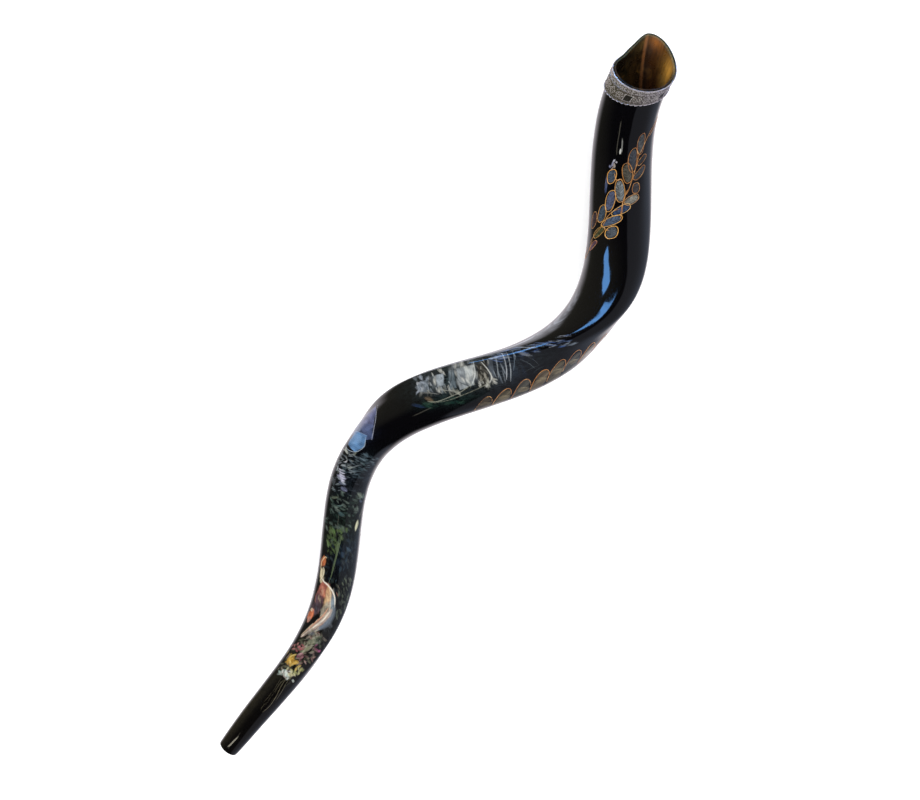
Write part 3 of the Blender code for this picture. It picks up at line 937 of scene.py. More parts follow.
class Canvas:
    """The painting: strokes laid wet in wet on a fine grid round the horn, which become thin films."""

    def __init__(self, seed):
        self.back = np.linspace(*CANVAS_BACK, CANVAS_ROWS)
        self.angle = np.arange(CANVAS_COLUMNS) * 360.0 / CANVAS_COLUMNS - 180.0
        self.row_step = self.back[1] - self.back[0]
        distance, turn = HORN_LENGTH - self.back[:, None] * MM, np.radians(self.angle)[None, :]
        self.along, around = stretch(distance, turn, CANVAS_TURN)
        self.around = around / MM / math.degrees(1.0)
        self.paint = np.zeros((CANVAS_ROWS, CANVAS_COLUMNS, 3))
        self.cover = np.zeros((CANVAS_ROWS, CANVAS_COLUMNS))
        self.random = np.random.default_rng(seed)

    def row_at(self, back):
        return int((back - self.back[0]) / self.row_step)

    def window(self, back, angle, reach):
        """The cells within reach (mm) of a place, as rows and columns."""
        first = max(self.row_at(back - reach), 0)
        last = min(self.row_at(back + reach) + 2, CANVAS_ROWS)
        row = min(first, CANVAS_ROWS - 1)
        middle = int(round((angle + 180.0) * CELLS_PER_DEGREE))
        half = int(reach / self.around[row, middle % CANVAS_COLUMNS] * CELLS_PER_DEGREE) + 2
        columns = np.arange(middle - half, middle + half + 1) % CANVAS_COLUMNS
        return np.ix_(np.arange(first, max(last, first)), np.unique(columns))

    def offsets(self, cells, back, angle):
        """How far the cells lie from a place, in mm forward and sideways."""
        rows, columns = cells
        forward = (back - self.back[rows]) * self.along[cells]
        turn = (self.angle[columns] - angle + 180.0) % 360.0 - 180.0
        return forward, turn * self.around[cells]

    def lay(self, cells, amount, code, streak=0.0):
        """Paint laid on what is there already, lighter and darker along the streaks of the brush."""
        tint = np.clip(np.array(colour(code)) * (1.0 + 0.3 * np.asarray(streak)[..., None]), 0.0, 1.0)
        before = self.cover[cells]
        after = before + (1.0 - before) * amount
        share = amount / np.maximum(after, 1e-6)
        self.paint[cells] += share[..., None] * (tint - self.paint[cells])
        self.cover[cells] = after

    def dab(
        self, back, angle, length, width, tilt, code, cover, bend=0.0, softness=0.5, square=2.0, skew=0.0
    ):
        """One brush dab round a middle point, its length turned by tilt degrees from the horn's own."""
        cells = self.window(back, angle, 0.75 * max(length, width) + 1.0)
        forward, sideways = self.offsets(cells, back, angle)
        across = sideways * cosine(tilt) - forward * sine(tilt)
        u = (forward * cosine(tilt) + sideways * sine(tilt) + skew * across) / (length / 2)
        v = (across - bend * length * (1.0 - u**2)) / (width / 2)
        a, b, d = self.random.uniform(0.0, 2.0 * math.pi, 3)
        bristle = 0.45 * np.sin(5.0 * v + a + 0.8 * u) + 0.33 * np.sin(11.0 * v + b - u)
        bristle += 0.22 * np.sin(21.0 * v + d)
        body = 1.0 - np.abs(u) ** square - np.abs(v) ** square + 0.35 * bristle * np.abs(u)
        amount = cover * ease(body, 0.0, softness) * (0.78 + 0.22 * bristle)
        self.lay(cells, np.clip(amount, 0.0, 1.0), code, bristle)

    def line(self, points, width, code, cover, softness):
        """A stroke through points of back and angle."""
        curve = rounded(points, CANVAS_LINE_STEPS)
        middle = curve.mean(0)
        spread = np.abs(curve - middle).max(0)
        cells = self.window(*middle, spread[0] + spread[1] * 0.45 + width)
        nearest = np.full(self.cover[cells].shape, FAR)
        half = np.ones_like(nearest)
        for t, (back, angle) in zip(np.linspace(-1.0, 1.0, len(curve)), curve):
            away = np.hypot(*self.offsets(cells, back, angle))
            closer = away < nearest
            nearest[closer] = away[closer]
            half[closer] = width / 2 * (1.0 - 0.5 * abs(t) ** 3)
        self.lay(cells, cover * ease(1.0 - nearest / half, 0.0, softness), code)

    def patch(self, corners, code, cover, edge, grain):
        """A brushed shape with straight sides, through convex corners of back and angle in turn."""
        corners = np.array(corners)
        middle = corners.mean(0)
        row = self.row_at(middle[0])
        shape = (corners - middle) * (-self.along[row].mean(), self.around[row].mean())
        cells = self.window(*middle, np.linalg.norm(shape, axis=1).max() + edge)
        forward, sideways = self.offsets(cells, *middle)
        depth = np.full(forward.shape, FAR)
        turned = np.sign(np.sum(np.cross(shape, np.roll(shape, -1, 0))))
        for here, there in zip(shape, np.roll(shape, -1, 0)):
            run = unit(there - here)
            inward = run[0] * (sideways - here[1]) - run[1] * (forward - here[0])
            depth = np.minimum(depth, turned * inward)
        a, b, d = self.random.uniform(0.0, 2.0 * math.pi, 3)
        across = sideways * cosine(grain) - forward * sine(grain)
        run = forward * cosine(grain) + sideways * sine(grain)
        streak = 0.4 * np.sin(0.7 * across + a + np.sin(0.5 * run + d))
        streak += 0.25 * np.sin(2.9 * across + b + np.sin(0.8 * run)) + 0.35 * np.sin(0.45 * run + d)
        amount = cover * ease(depth + 0.25 * streak, -edge / 2, edge / 2) * (0.88 + 0.12 * streak)
        self.lay(cells, amount, code, streak)

    def dabs(self, rows, **more):
        for row in rows:
            self.dab(*row, **more)

    def lines(self, rows, softness=0.7, strength=1.0):
        for points, width, code, cover in rows:
            self.line(points, width, code, strength * cover, softness)

    def patches(self, rows, edge, grain):
        for corners, code, cover in rows:
            self.patch(corners, code, cover, edge, grain)

    def scatter(self, groups):
        """Groups of small dabs with chance in their places, within the ranges given."""
        draw = self.random.uniform
        for (backs, angles, sizes, widths, tilts, covers), count, softness, *codes in groups:
            for _ in range(int(count)):
                back, angle, length = draw(*backs), draw(*angles), draw(*sizes)
                code = codes[int(draw(0, len(codes) - 1e-6))]
                width, tilt = length * draw(*widths), draw(*tilts)
                self.dab(back, angle, length, width, tilt, code, draw(*covers), draw(-0.1, 0.1), softness)

    def make_films(self, finish):
        """One thin closed film round the horn for each of the painting's pieces."""
        turn, margin = np.radians(self.angle), self.row_step / 2
        for name, start, end in PAINTINGS:
            rows = np.flatnonzero((self.back >= start - margin) & (self.back <= end + margin))
            paint, cover = self.paint[rows], self.cover[rows]
            distances = HORN_LENGTH - self.back[rows] * MM
            under = distances[::-8]
            raised = FILM_BASE + FILM_RISE * cover * (0.5 + 0.5 * np.sqrt(paint.mean(-1)))
            outer = outside(distances[:, None], turn[None, :], raised)
            inner = outside(under[:, None], turn[None, :], -FILM_BACK)
            every = np.r_[distances, under]
            distance, angle = np.broadcast_arrays(every[:, None], self.angle[None, :])
            laid = np.concatenate([PAINT_DEPTH * paint, cover[..., None]], -1)
            laid = np.concatenate([laid, np.zeros((len(under), CANVAS_COLUMNS, 4))])
            wash, ground = wash_layer(distance, angle), ground_layer(every, turn)
            layers = (("paint", laid), ("wash", wash), ("ground", ground))
            settle(closed_loft(name, np.concatenate([outer, inner]), finish, layers, 60), "brush_paint")


# Leaves of the gold branch: back (mm), angle, length, width (mm), tilt (degrees), outline, wash, cover.
LEAVES = table("""
    76 -108 25 8.4 -20 #84563a #56585a .75; 94 -114 27 9 -18 #946038 #4c5058 .65;
    96 -90 12.5 7 40 #80522e #3c3a3c .6; 110 -87 17 8 36 #946640 #4c4e54 .65;
    109 -116 23 9.4 -27 #a06c38 #6a665a .6; 139 -88 16 9 53 #a07850 #9a978c .8;
    130 -119 25 9 -23 #b8864c #8c9294 .75; 142 -132 22 9.4 -8 #c89450 #646c88 .75;
    152 -103 18.7 8.6 52 #c9a060 #3c5070 .85; 157 -142 18 8.8 -11 #c08c4c #4c5c6c .75;
    166 -115 20.2 9.4 63 #e0a85a #5c6c84 .8; 179 -136 12.7 9 45 #a8803c #5a5c3c .7;
    163 -160 17 7.6 -9 #8a5c3a #4c3c40 .7; 194 -140 9.9 6.4 32 #9a6450 #6c5060 .8;
    112 -146 15 8.8 -16 #dfa050 #5c6878 .7; 126 -86 11.1 8.6 -17 #94643c #4e4a4c .7;
    180 -106 13.6 12.2 -18 #f0b45c #646c74 .75
""")
# Its stems: points of back and angle, then width.
BRANCH_STEMS = table("""
    50,-66 58,-80 67,-93 78,-98 84,-100 91,-103 102,-101 115,-101 129,-102 138,-106 151,-104 160,-100 .9;
    116,-122 117,-133 108,-143 .9; 128,-104 140,-106 154,-101 163,-99 .9;
    151,-104 154,-118 161,-127 171,-131 182,-146 190,-155 .9; 172,-131 176,-122 178,-113 .9;
    186,-148 198,-150 206,-158 201,-166 193,-160 .9; 56,-62 63,-76 72,-92 .9
""")
# Half leaves of the row that climbs along the horn's lower edge: back, angle, length, width, tilt.
# Their tips lean towards the bell, and the last one is faint.
SCALE_SKEW = 1.0
SCALES_FADE_FROM = 400
SCALES = table("""
    292 58 24 17 -20; 310 62 25 20 -24; 328 62 26 20 -26; 345 72 26 20 -30; 362 82 26 19 -30;
    380 95 26 18 -32; 398 106 24 16 -32; 415 116 22 15 -30
""")
LEAF_WASH = {"power": 0.45, "rise": 0.12, "softness": 0.2, "rows": 15}
STEM_GOLD = "a87440"


def paint_branch(gold, wash):
    lines, fills = Painter(11), Painter(12)
    for back, angle, length, width, tilt, edge, inside_code, cover in LEAVES:
        fills.dab(back, angle, length * 0.93, width * 0.92, tilt, inside_code, cover, **LEAF_WASH)
        lines.outline(back, angle, length, width, tilt, edge)
    for stem, width in BRANCH_STEMS:
        lines.line(stem, width, STEM_GOLD, rise=0.28, taper=0.35)
    for k, scale in enumerate(SCALES):
        edge = ("94623e", "a86c38", "8c5c40")[k % 3] if scale[0] < SCALES_FADE_FROM else "5c4434"
        lines.outline(*scale, edge, 0.95, start=0.47, end=1.0, power=1.1, skew=SCALE_SKEW)
    # The branch goes on round the side that lies away from the window light.
    for k in range(11):
        back, angle = 84.0 + 13.0 * k, 20.0 + 34.0 * math.sin(k * 0.55) + 7.0 * k
        inside_code, edge = ("56606c", "6a665a", "5c6c80")[k % 3], ("a87440", "946038", "b8864c")[k % 3]
        for side in (-1, 1):
            where, tilt = angle + side * (13.0 + k * 0.5), side * 28 - 8
            fills.dab(back, where, 17.0, 7.2, tilt, inside_code, 0.65, **LEAF_WASH)
            lines.outline(back, where, 18.5, 7.8, tilt, edge)
    stem = [(78.0 + 13.0 * k, 18.0 + 34.0 * math.sin(k * 0.55 - 0.2) + 7.0 * k) for k in range(12)]
    lines.line(stem, 1.0, STEM_GOLD, rise=0.28, taper=0.35)
    lines.finish("branch_gold_lines", "gold_liner", gold)
    fills.finish("branch_leaf_washes", "brush_paint", wash)


# The painting's tables, in mm and degrees. Four kinds of row:
# a dab: back, angle, length, width, tilt, colour, cover, and a bend where it has one;
# a line: points of back and angle, then width, colour and cover;
# a patch: corners of back and angle, then colour and cover;
# scattered dabs: how many, then the ranges of back, angle, length, width (as a share of the length), tilt
# and cover, then softness and the colours.
BUDS = table("""
    96 -154 6.5 2.8 -2 #7c7c94 .9 .05; 98 -148 7.5 2.6 -26 #948880 .85 -.05; 92 -153 4 2.6 4 #b8b8c4 .95;
    99 -157 4.5 2.4 -35 #5c6080 .9; 102 -151 5 2 20 #8c7c74 .8; 94 -147 3.4 2 -40 #a4a0a8 .85;
    73 -150 22 1.5 -20 #8c8c88 .7 .02; 80 -148 8 1.8 -18 #d0d0c8 .95; 122 -152 22 3 -14 #2c3c68 .8
""")

TOWN_SHADE = table("""
    30 398,468 0,60 10,18 .4,.7 70,110 .4,.7 1 #1c2022 #24282c #14181a;
    22 362,396 -8,44 8,16 .25,.5 76,100 .4,.7 1 #141c28 #1c2430 #10141c
""")
WALLS = table("""
    464,16 452,12 453,46 463,40 #727a82 .95; 450,8 436,6 441,50 452,56 #34393c .95;
    445,10 437,8 440,36 447,38 #8c949a .95; 433,4 428,4 431,46 438,48 #566066 .95;
    427,2 411,2 416,46 430,52 #858b8e .95; 420,4 411,3 415,34 422,36 #a2a6a4 .95;
    409,0 401,0 404,52 415,54 #2e2c26 .95; 400,-2 395,-2 399,40 403,44 #474d54 .95
""")
# The last row is painted reflection: blue and white streaks along the horn's upper edge.
TOWN_STONES_AND_REFLECTION = table("""
    34 411,431 0,46 6,12 .35,.7 70,110 .2,.6 1 #9ca0a0 #6c7074 #44484c #ccccc4;
    34 450,467 6,44 4,9 .35,.7 30,140 .2,.7 1 #a0a8b4 #8c949c #2c3034 #bcc0c4 #14181a;
    40 434,452 4,54 4,9 .3,.6 50,130 .2,.7 1 #747c80 #a8b0b4 #141618 #c0c0b8 #1c2022;
    24 398,413 38,60 3,7 .3,.6 20,120 .3,.7 1 #b0b0a8 #94948c #c8c8c0 #3c3c38;
    36 397,412 0,50 4,9 .2,.4 60,110 .2,.65 1 #7c786c #1c1a16 #b8b4a8 #a09c90;
    56 402,462 42,66 3,8 .25,.5 50,130 .3,.7 1 #101212 #1c1e1c #5c5c54 #98988c;
    9 372,400 -6,44 8,18 .08,.16 80,96 .3,.6 1 #747c84 #545c64 #9ca4ac;
    60 326,396 -14,8 6,16 .1,.22 -10,26 .25,.6 1 #4a68a4 #6c84b4 #b4bcc8 #5c6c8c #8c98a8
""")
TOWN_SLOPE = table("456 67 11 6 40 #6c5c48 .7; 467 78 16 4 24 #20304c .7")
TOWN_GRASS = table("""
    16 430,462 74,90 6,12 .2,.4 -20,40 .4,.8 1 #16302a #1c382e #2c4034
""")
TOWN_LINES = table("""
    458,72 451,77 441,72 430,63 419,48 1.3 #a8a898 .85; 453,80 440,78 428,71 416,62 405,51 1.2 #8c8c7c .75;
    411,3 413,24 418,47 1.4 #dce0dc .95; 405,6 402,20 401,37 404,51 1.7 #d4d4cc .95;
    430,4 433,26 438,48 1.5 #101214 .9; 450,12 452,30 454,52 1.8 #141618 .9;
    427,38 421,52 427,62 2.6 #181814 .85; 413,46 408,38 404,28 1.1 #8c8878 .7;
    446,44 440,52 434,56 1.2 #9c9c94 .8; 462,44 454,50 447,58 1.4 #8c8c88 .7;
    392,-2 394,20 396,42 1.3 #a0a6aa .95; 386,-6 387,22 390,50 1.5 #c4c8cc 1;
    382,-7 384,26 387,56 1.4 #b4babe 1; 377,-6 379,12 382,30 1.1 #8090a0 .8;
    374,12 368,22 364,36 1 #646c70 .6; 369,8 363,18 360,30 .9 #5c6468 .5;
    374,40 367,34 360,31 .9 #545c60 .5; 366,46 362,40 356,36 .9 #4c5458 .5
""")

# A painted reflection of a window: pale blue and lilac panes between the town and the trees.
WINDOW_REFLECTION = table("""
    507,26 507,60 513,94 526,96 532,60 526,36 #60668a .85; 512,92 521,125 527,118 533,84 524,70 #4a5678 .85;
    526,40 528,84 538,76 548,64 538,48 #66728c .8; 535,76 523,110 534,131 546,129 550,96 #5a7fa8 1;
    537,80 528,104 534,116 543,108 546,92 #7494b8 .5
""")
# Pale lines along the edges of the window reflection: its painted frame.
WINDOW_REFLECTION_LINES = table("""
    506,30 508,60 510,84 516,108 523,126 1 #b0b4c4 .85;
    526,112 534,131 545,131 551,112 552,94 1.1 #a8b4c0 .8; 524,110 530,90 535,76 .8 #8ca4c4 .7
""")

TREE_SHADE = table("""
    50 552,606 100,205 9,16 .4,.8 20,130 .4,.7 1 #0c1012 #12161a #0a0c0e;
    40 600,660 140,250 9,16 .4,.8 90,160 .4,.7 1 #101614 #141c18 #0c1010
""")
FOLIAGE = table("""
    581 150 12 7 80 #8c8ca0 .9; 586 162 9 5 90 #5c6078 .8; 592 176 9 6 113 #6c7088 .8;
    590 133 9 6 45 #4c4e54 .7; 605 161 10.2 4 61 #586050 .8 .1; 553 108 10 3.4 101 #b4b8b0 .95 .1;
    556 100 7 2.4 60 #a0a49c .8; 548 133 7.2 2.2 175 #808478 .7; 541 154 8 4 105 #4c5c66 .8;
    546 162 9 3 75 #54646c .75 .1; 553 170 9 3 111 #445458 .75; 560 178 8 2.6 60 #3c4c54 .7 .1;
    548 160 10 2 95 #6c7c84 .7; 564 150 7 2.2 48 #98a09c .85 .2; 562 128 7 2.2 19 #b0b0b4 .9 .2;
    568 136 8 1.8 70 #9ca0a4 .85 -.1; 576 118 9 2.4 -13 #9098a4 .8 .2; 570 122 10 1.8 30 #787c84 .8 -.15;
    622 -157 9 5 115 #42585a .75; 635 -176 6 4 118 #48564e .75; 614 178 7 2.8 100 #6c7a70 .8 .2;
    612 -172 8 2.2 60 #5c706c .75 .1; 643 -160 8.7 4.2 147 #587040 .9; 641 -138 8.6 4.2 150 #5e7444 .9;
    640 -122 7 3.4 158 #4c5c38 .85; 658 -163 7.2 4.2 141 #465c34 .9; 652 -149 8 3.4 130 #4c6038 .85;
    661 -133 8 3.4 172 #586848 .85; 650 -172 7 3.4 130 #3c4c2c .85; 597 -128 14 5 129 #6c766a .85;
    606 -112 8 2.4 120 #4c5468 .7; 635 -91 13 5.4 173 #ccccac 1; 622 -90 15 2.4 177 #5c5c50 .75;
    662 -92 8 4.4 128 #3c4c58 .8; 668 -106 8 5 152 #2c3c4c .75; 676 -80 12 5 140 #242c34 .7
""")
LEAF_DABS = table("""
    90 550,600 98,172 4,9 .2,.42 20,130 .2,.7 1 #8c9498 #5c6468 #a0a4a0 #3c484c #6c767c;
    60 538,574 138,200 4,9 .25,.45 50,120 .25,.6 1 #4c5c64 #44545c #647078;
    40 562,600 165,225 4,9 .2,.4 70,120 .3,.6 1 #202830 #2c343a #383e44;
    120 596,642 150,250 4,9 .25,.5 90,150 .25,.65 1 #34443f #44544a #24342e #5c6c64 #6c7870 #101414;
    46 636,668 185,236 4,8 .35,.6 120,165 .3,.7 .9 #4c5c38 #566840 #3c4c30 #647450 #181c14;
    110 640,702 196,300 4,8 .25,.5 120,175 .25,.6 1 #2c3630 #242c2a #363c38 #26323c #344652 #3c4242
""")
FOLIAGE_LINES = table("""
    646,-130 655,-128 666,-124 686,-117 700,-113 1.4 #5c6a4c .8; 652,-134 666,-127 689,-119 1.4 #5c6a4c .8
""")
UNDERGROWTH = table("""
    90 692,730 -88,-15 4,8 .22,.42 125,165 .25,.7 .9 #50544a #3c4038 #646c5c #242824 #2c3434;
    50 722,764 -48,5 3,8 .2,.4 110,160 .3,.65 .9 #22262a #2c2e2c #383c3c
""")

# A robed figure with a plain oval for a head.
ROBE = table("""
    701,-139 703,-110 714,-100 724,-118 716,-142 #96584a .95;
    714,-142 717,-106 730,-92 738,-104 728,-138 #40343a .95;
    704,-110 710,-88 720,-74 726,-90 714,-106 #bc9870 .95;
    710,-86 716,-68 728,-50 737,-46 733,-66 721,-80 #78848c .95;
    720,-90 723,-72 734,-60 738,-78 730,-92 #98907e .95
""")
FIGURE = table("""
    678 -164 12.5 9 162 #b46c44 1; 679 -160 6 4 165 #9c5030 .7; 691 -152 13 7.2 161 #ccbe9c 1;
    698 -143 8 6 160 #b8a888 .9; 708 -124 9 5 140 #a8705c .8; 713 -112 9 3 138 #c07c60 .7;
    716 -92 10 4 145 #d0b088 .7; 737 -121 13 9 160 #c4704c 1; 743 -116 8 5 158 #bc8878 .8;
    732 -128 6 3 120 #e0c4a4 .9; 740 -42 12 6 110 #44484e .7
""")
FOLDS = table("""
    40 702,736 -136,-66 5,11 .12,.25 130,158 .25,.6 1 #a8705c #8c5c50 #685c70 #a89880 #704c50 #5c6470
""")
FIGURE_LINES = table("""
    674,-152 673,-160 678,-169 685,-166 688,-158 1.4 #dcc8a0 .95;
    684,-156 688,-146 695,-144 699,-150 1.2 #dcd4b8 .9;
    697,-141 700,-130 703,-112 708,-90 714,-72 723,-56 2 #ece4d4 .95;
    723,-56 731,-47 740,-42 1.4 #7c8890 .7; 722,-62 730,-50 740,-48 748,-58 9 #5c646e .85;
    724,-62 733,-58 741,-60 4.5 #8c9494 .7; 727,-62 736,-64 746,-74 754,-86 762,-98 9 #a89488 .95;
    733,-52 742,-54 750,-64 758,-78 4.5 #68727e .8;
    726,-74 735,-76 744,-84 752,-92 759,-102 2.6 #c89478 .85;
    730,-66 739,-69 748,-79 756,-90 763,-99 1.8 #dcd4bc .8; 746,-90 753,-96 761,-104 2.4 #b8a890 .8;
    704,-106 712,-90 721,-76 729,-64 1.8 #dccbae .6; 729,-63 738,-66 747,-76 755,-87 1.6 #ece4d4 .8
""")
LIMBS = table("""
    34 732,758 -88,-56 4,9 .15,.3 -5,30 .25,.6 1 #c0a088 #8c7c74 #d4ccb4 #a87c68 #7c848c
""")

BED_SHADE = table("""
    40 750,808 -90,-8 6,12 .4,.7 0,180 .4,.7 1 #0e100c #14140f #1a1612
""")
FLOWER_STEMS = table("""
    804,-30 812,-24 822,-10 832,-2 841,-6 .9 #8c8468 .6; 802,-22 809,-16 817,-6 825,2 .8 #7c7660 .6;
    806,-46 813,-40 821,-32 .8 #5c5848 .6; 808,-38 815,-32 824,-24 834,-20 .7 #54503e .6;
    790,-36 780,-46 772,-52 764,-46 1.5 #6c6c58 .6; 771,-56 763,-64 756,-62 1.6 #70705c .6
""")
BED_LEAVES = table("""
    110 752,802 -92,-10 4,9 .3,.5 0,180 .2,.7 1 #646450 #74745c #84806c #444838 #948a7c #745c58 #8c6c68
    #1c1c18; 34 754,784 -62,-44 4,8 .35,.6 -20,60 .3,.7 1 #8c8c74 #a09c8c #70745c
""")
FLOWER_DABS = table("""
    782 -22 5.7 1.8 113 #a88c84 .8; 800 -34 5 3 117 #c8c49c .9; 763 -57 6 5.2 18 #5c6050 .8;
    771 -50 6 4.4 25 #747458 .8; 772 -62 5 3 60 #847c68 .8; 768 -68 6 3 140 #787460 .8;
    756 -66 6 3 30 #64686c .7; 760 -74 6 3 20 #70685c .7
""")
# Clusters of small petals: back, angle, spread (mm), count, petal length, colours.
FLOWERS = table("""
    788 -66 5 34 4.6 #b88c38 #c8a04c #a07828 #d8bc70 #8c7430;
    801 -47 4 26 4 #c0c8c0 #98aca4 #dce0d8 #8c9890 #a89c94; 774 -80 3.6 14 4 #985458 #8c4850 #a87470;
    766 -18 2.4 9 3.4 #7c3c5c #88486c #5c3044; 780 -46 3 12 3.6 #84505c #744450 #a47c80;
    795 -26 3.4 14 4 #a8a474 #c0bc94 #8c8c5c; 789 -15 2 7 3.6 #98945c #7c7c4c #a8a478;
    760 -34 4 12 4 #4c5848 #3c4438 #6c7064
""")
BED_EDGE = table("""
    8 806,840 -40,0 8,20 .05,.08 168,190 .25,.5 .9 #4c4838 #5c5844
""")


def paint_buds_and_tip_highlight(paint):
    painter = Painter(21)
    for bud in BUDS:
        painter.dab(*bud)
    # A painted highlight: a pale streak along the end of the mouthpiece.
    painter.line(((870, -20), (877, -26), (882, -30), (887, -37)), 1.9, "8c8676", 0.8)
    painter.finish("bud_and_tip_highlight_strokes", "brush_paint", paint)


def paint_scales(canvas):
    for k, (back, angle, length, width, tilt) in enumerate(SCALES):
        tone = ("5c5444", "645848", "4c4a44")[k % 3]
        cover = 0.8 if back < SCALES_FADE_FROM else 0.4
        canvas.dab(back, angle, length, width, tilt, tone, cover, softness=0.3, skew=SCALE_SKEW)
        thin = cover * 0.6
        canvas.dab(back - 2.5, angle - 7, length * 0.6, width * 0.4, tilt + 35, "7c7058", thin, softness=0.9)
        canvas.dab(back - 4.0, angle - 12, length * 0.4, 1.4, tilt + 50, "90846c", thin, softness=0.8)


def paint_town(canvas):
    """Stone blocks on a hill, lit from the left, with dark gaps between them and pale paths under them, and a
    painted reflection of blue and white streaks along the horn's upper edge.
    """
    canvas.scatter(TOWN_SHADE)
    canvas.patches(WALLS, 1.0, 85.0)
    canvas.scatter(TOWN_STONES_AND_REFLECTION)
    canvas.dabs(TOWN_SLOPE, softness=1.0)
    canvas.scatter(TOWN_GRASS)
    canvas.lines(TOWN_LINES, 1.0, 0.85)


# A painted reflection of a window, with pale lines along its edges.
def paint_window_reflection(canvas):
    canvas.patches(WINDOW_REFLECTION, 0.8, 60.0)
    canvas.lines(WINDOW_REFLECTION_LINES)


def paint_trees(canvas):
    """Dark trees with a fan of pale leaves, and the garden's undergrowth as far as the flowers."""
    canvas.scatter(TREE_SHADE)
    canvas.dabs(FOLIAGE, softness=0.8)
    for k in range(6):
        leaf = (573 + 2.2 * k, 137 + 5.0 * k, 9.6 - 0.4 * k, 2.1, 66 + 9 * k)
        canvas.dab(*leaf, "c8c8d8", 0.9, 0.08, 0.7)
    canvas.scatter(LEAF_DABS)
    canvas.lines(FOLIAGE_LINES)
    canvas.scatter(UNDERGROWTH)


def paint_figure(canvas):
    """A faceless robed figure that sits among the trees: a plain oval head over broad folds."""
    canvas.patches(ROBE, 3.0, -30.0)
    canvas.dabs(FIGURE, softness=0.8, square=2.4)
    canvas.scatter(FOLDS)
    canvas.lines(FIGURE_LINES, 0.9)
    canvas.scatter(LIMBS)


def paint_flowers(canvas):
    """A bed of stems and leaves, with clusters of petals over them."""
    canvas.scatter(BED_SHADE)
    canvas.lines(FLOWER_STEMS, 1.0)
    canvas.scatter(BED_LEAVES)
    canvas.dabs(FLOWER_DABS, softness=0.9)
    draw = canvas.random.normal
    for back, angle, spread, count, length, *codes in FLOWERS:
        for k in range(int(count)):
            sideways = draw(0.0, 0.5) * spread / 0.16
            place = back + draw(0.0, 0.5) * spread
            petal = (place, angle + sideways, 1.2 * length, length * 0.65, draw(0.0, 60.0))
            canvas.dab(*petal, codes[k % len(codes)], 0.75, softness=1.0)
    canvas.scatter(BED_EDGE)


# ---------------------------------------------------------------- the studio

# How bright the parts of the studio are where gloss mirrors them, as red, green and blue.
ROOM_DARK = (0.006, 0.008, 0.007)
ROOM_ABOVE = (0.004, 0.005, 0.005)
ROOM_LEFT = (0.15, 0.145, 0.11)
PANEL_LOW = (0.34, 0.38, 0.48)
PANEL_HIGH = (0.25, 0.26, 0.30)
PAPER = (1.15, 1.08, 1.14)
GLOW = (3.0, 3.1, 3.5)
WINDOW = (2.0, 5.4, 12.0)
LAMP = (1.5, 1.4, 1.1)
# The even light that falls on matt surfaces, and the backdrop.
MATT_LIGHT = (1.32, 1.32, 1.33)
BACKDROP = (1.0, 1.0, 1.0)

FLOOR_HALF = 3.0
SOFTBOX_SIZE = 2.2
# Name, place and power of each softbox.
SOFTBOXES = (("key_softbox", (1.6, -1.2, 2.6), 30.0), ("fill_softbox", (-1.8, 1.4, 2.4), 18.0))


def camera_axes():
    c, s = cosine(CAMERA_TURN_DEG), sine(CAMERA_TURN_DEG)
    return [POSE @ np.array(axis) for axis in ((c, -s, 0.0), (s, c, 0.0), (0.0, 0.0, 1.0))]


RIGHT, UP, TOWARDS = camera_axes()


def add_camera():
    data = bpy.data.cameras.new("camera")
    data.lens = CAMERA_LENS
    data.sensor_width = 36.0
    data.clip_end = 20.0
    made = bpy.data.objects.new("camera", data)
    place = POSE @ np.array(CAMERA_PLACE) + np.array(REST_PLACE)
    matrix = Matrix.Identity(4)
    for row in range(3):
        matrix[row] = (RIGHT[row], UP[row], TOWARDS[row], place[row])
    made.matrix_world = matrix
    bpy.context.scene.collection.objects.link(made)
    bpy.context.scene.camera = made


def direction(polar_deg, turn_deg):
    """A direction given by its angle from straight above, and its turn from the right-hand side."""
    level = cosine(turn_deg) * RIGHT + sine(turn_deg) * UP
    return sine(polar_deg) * level + cosine(polar_deg) * TOWARDS


def strip(nodes, towards, start, end, half_width, spare_deg, ragged=0.0):
    """1 inside a long thin window between two directions, and 0 outside it."""
    reach = math.degrees(math.acos(float(start @ end))) / 2 + spare_deg
    edge = (nodes.noise(towards, 11.0, 3.0) - 0.5) * ragged
    away = abs(nodes.dot(towards, unit(np.cross(start, end)))) + edge
    ahead = nodes.dot(towards, unit(start + end))
    side = nodes.smooth(away, half_width, half_width * 1.25, 1.0, 0.0)
    return side * nodes.smooth(ahead, cosine(reach + 1.5), cosine(reach))


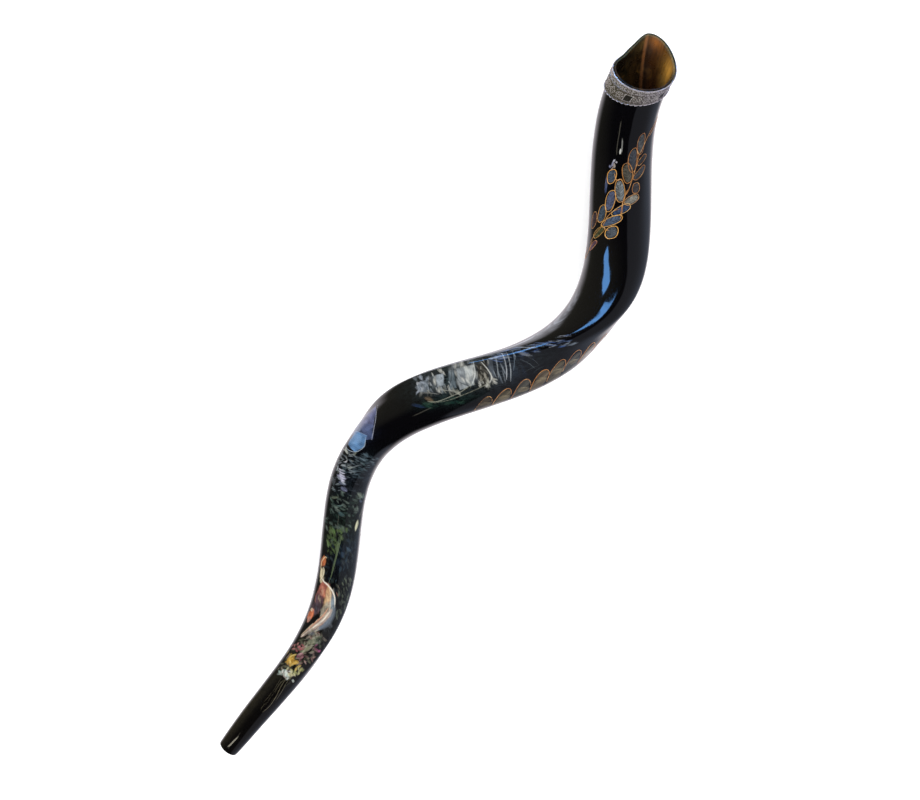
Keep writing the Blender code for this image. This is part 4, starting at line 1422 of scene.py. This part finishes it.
def add_world():
    """White light all round for matt surfaces; for gloss, a dark room with a soft panel and two windows."""
    world = bpy.data.worlds.new("studio")
    bpy.context.scene.world = world
    world.use_nodes = True
    world.cycles.sampling_method = "NONE"
    tree = world.node_tree
    tree.nodes.clear()
    nodes = Nodes(tree)
    towards = nodes.place("Generated")
    right, up, above = (nodes.dot(towards, axis) for axis in (RIGHT, UP, TOWARDS))
    panel = nodes.smooth(nodes.dot(towards, 0.94 * RIGHT - 0.34 * UP), 0.45, 0.50)
    panel_tone = nodes.mix(nodes.smooth(above, -0.5, 0.1), PANEL_LOW, PANEL_HIGH)
    room = nodes.mix(nodes.smooth(up - right * 0.7, 0.1, 1.0), ROOM_DARK, ROOM_LEFT)
    room = nodes.mix(nodes.smooth(above, 0.45, 0.9, 0.0, 0.75), room, ROOM_ABOVE)
    lit = nodes.mix(panel, room, panel_tone)
    low = above + nodes.math("MAXIMUM", right, 0.0) * 0.41
    lit = nodes.mix(nodes.smooth(low, -0.78, -0.40, 1.0, 0.0), lit, PAPER)
    combed = nodes.noise(nodes.combine(right * 34.0, above * 5.0, up), 1.0, 3.0)
    glow = nodes.smooth(nodes.dot(towards, direction(137, 105)), cosine(21), cosine(6))
    lit = nodes.mix(glow * nodes.smooth(combed, 0.35, 0.68, 0.12, 1.0), lit, GLOW)
    upper_pane = strip(nodes, towards, direction(61, 114), direction(72.5, 78), 0.085, 0.5, 0.07)
    lower_pane = strip(nodes, towards, direction(78, 56), direction(79.5, 69), 0.03, 0.5, 0.02)
    lit = nodes.mix(nodes.math("MAXIMUM", upper_pane, lower_pane), lit, WINDOW)
    lit = nodes.mix(strip(nodes, towards, direction(30, 222), direction(43, 231), 0.022, 1.0), lit, LAMP)
    path = nodes.add("ShaderNodeLightPath").outputs
    lit = nodes.mix(Value(nodes, path["Is Diffuse Ray"]), lit, MATT_LIGHT)
    lit = nodes.mix(Value(nodes, path["Is Camera Ray"]), lit, BACKDROP)
    background = nodes.add("ShaderNodeBackground")
    nodes.feed(background.inputs["Color"], lit)
    output = nodes.add("ShaderNodeOutputWorld")
    tree.links.new(background.outputs[0], output.inputs["Surface"])


def add_floor():
    mesh = bpy.data.meshes.new("studio_floor")
    corners = [(x * FLOOR_HALF, y * FLOOR_HALF, 0.0) for x, y in ((-1, -1), (1, -1), (1, 1), (-1, 1))]
    mesh.from_pydata(corners, [], [(0, 1, 2, 3)])
    floor = bpy.data.objects.new("studio_floor", mesh)
    bpy.context.scene.collection.objects.link(floor)
    made, _ = new_material("floor_paper")
    shader = made.node_tree.nodes["Principled BSDF"]
    shader.inputs["Base Color"].default_value = (0.95, 0.95, 0.95, 1.0)
    shader.inputs["Roughness"].default_value = 0.9
    shader.inputs["Specular IOR Level"].default_value = 0.0
    shader.inputs["Emission Color"].default_value = (1.0, 1.0, 1.0, 1.0)
    shader.inputs["Emission Strength"].default_value = 0.22
    mesh.materials.append(made)
    floor.visible_glossy = False


def add_softbox(name, place, power):
    data = bpy.data.lights.new(name, "AREA")
    data.shape = "DISK"
    data.size = SOFTBOX_SIZE
    data.energy = power
    made = bpy.data.objects.new(name, data)
    made.location = place
    made.rotation_euler = (-Vector(place)).to_track_quat("-Z", "Y").to_euler()
    made.visible_glossy = False
    bpy.context.scene.collection.objects.link(made)


def main():
    bpy.context.scene.view_settings.view_transform = "Standard"
    add_camera()
    add_world()
    add_floor()
    for softbox in SOFTBOXES:
        add_softbox(*softbox)

    make_lacquer(lacquer_material("black_lacquer"))
    make_core(natural_material())
    make_sleeve(silver_material("chased_silver", "f6eedc", "4a4636"))
    make_wires(silver_material("silver_wire", "f4ecf0", "a8a498"))
    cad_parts["sleeve_adhesive_bed"].material_slots[0].material = adhesive_material()

    paint_branch(gold_material(), leaf_material())
    paint_buds_and_tip_highlight(brush_material())
    canvas = Canvas(41)
    for part in (paint_scales, paint_town, paint_window_reflection, paint_trees, paint_figure, paint_flowers):
        part(canvas)
    canvas.make_films(lacquer_material("painted_lacquer", True))


main()
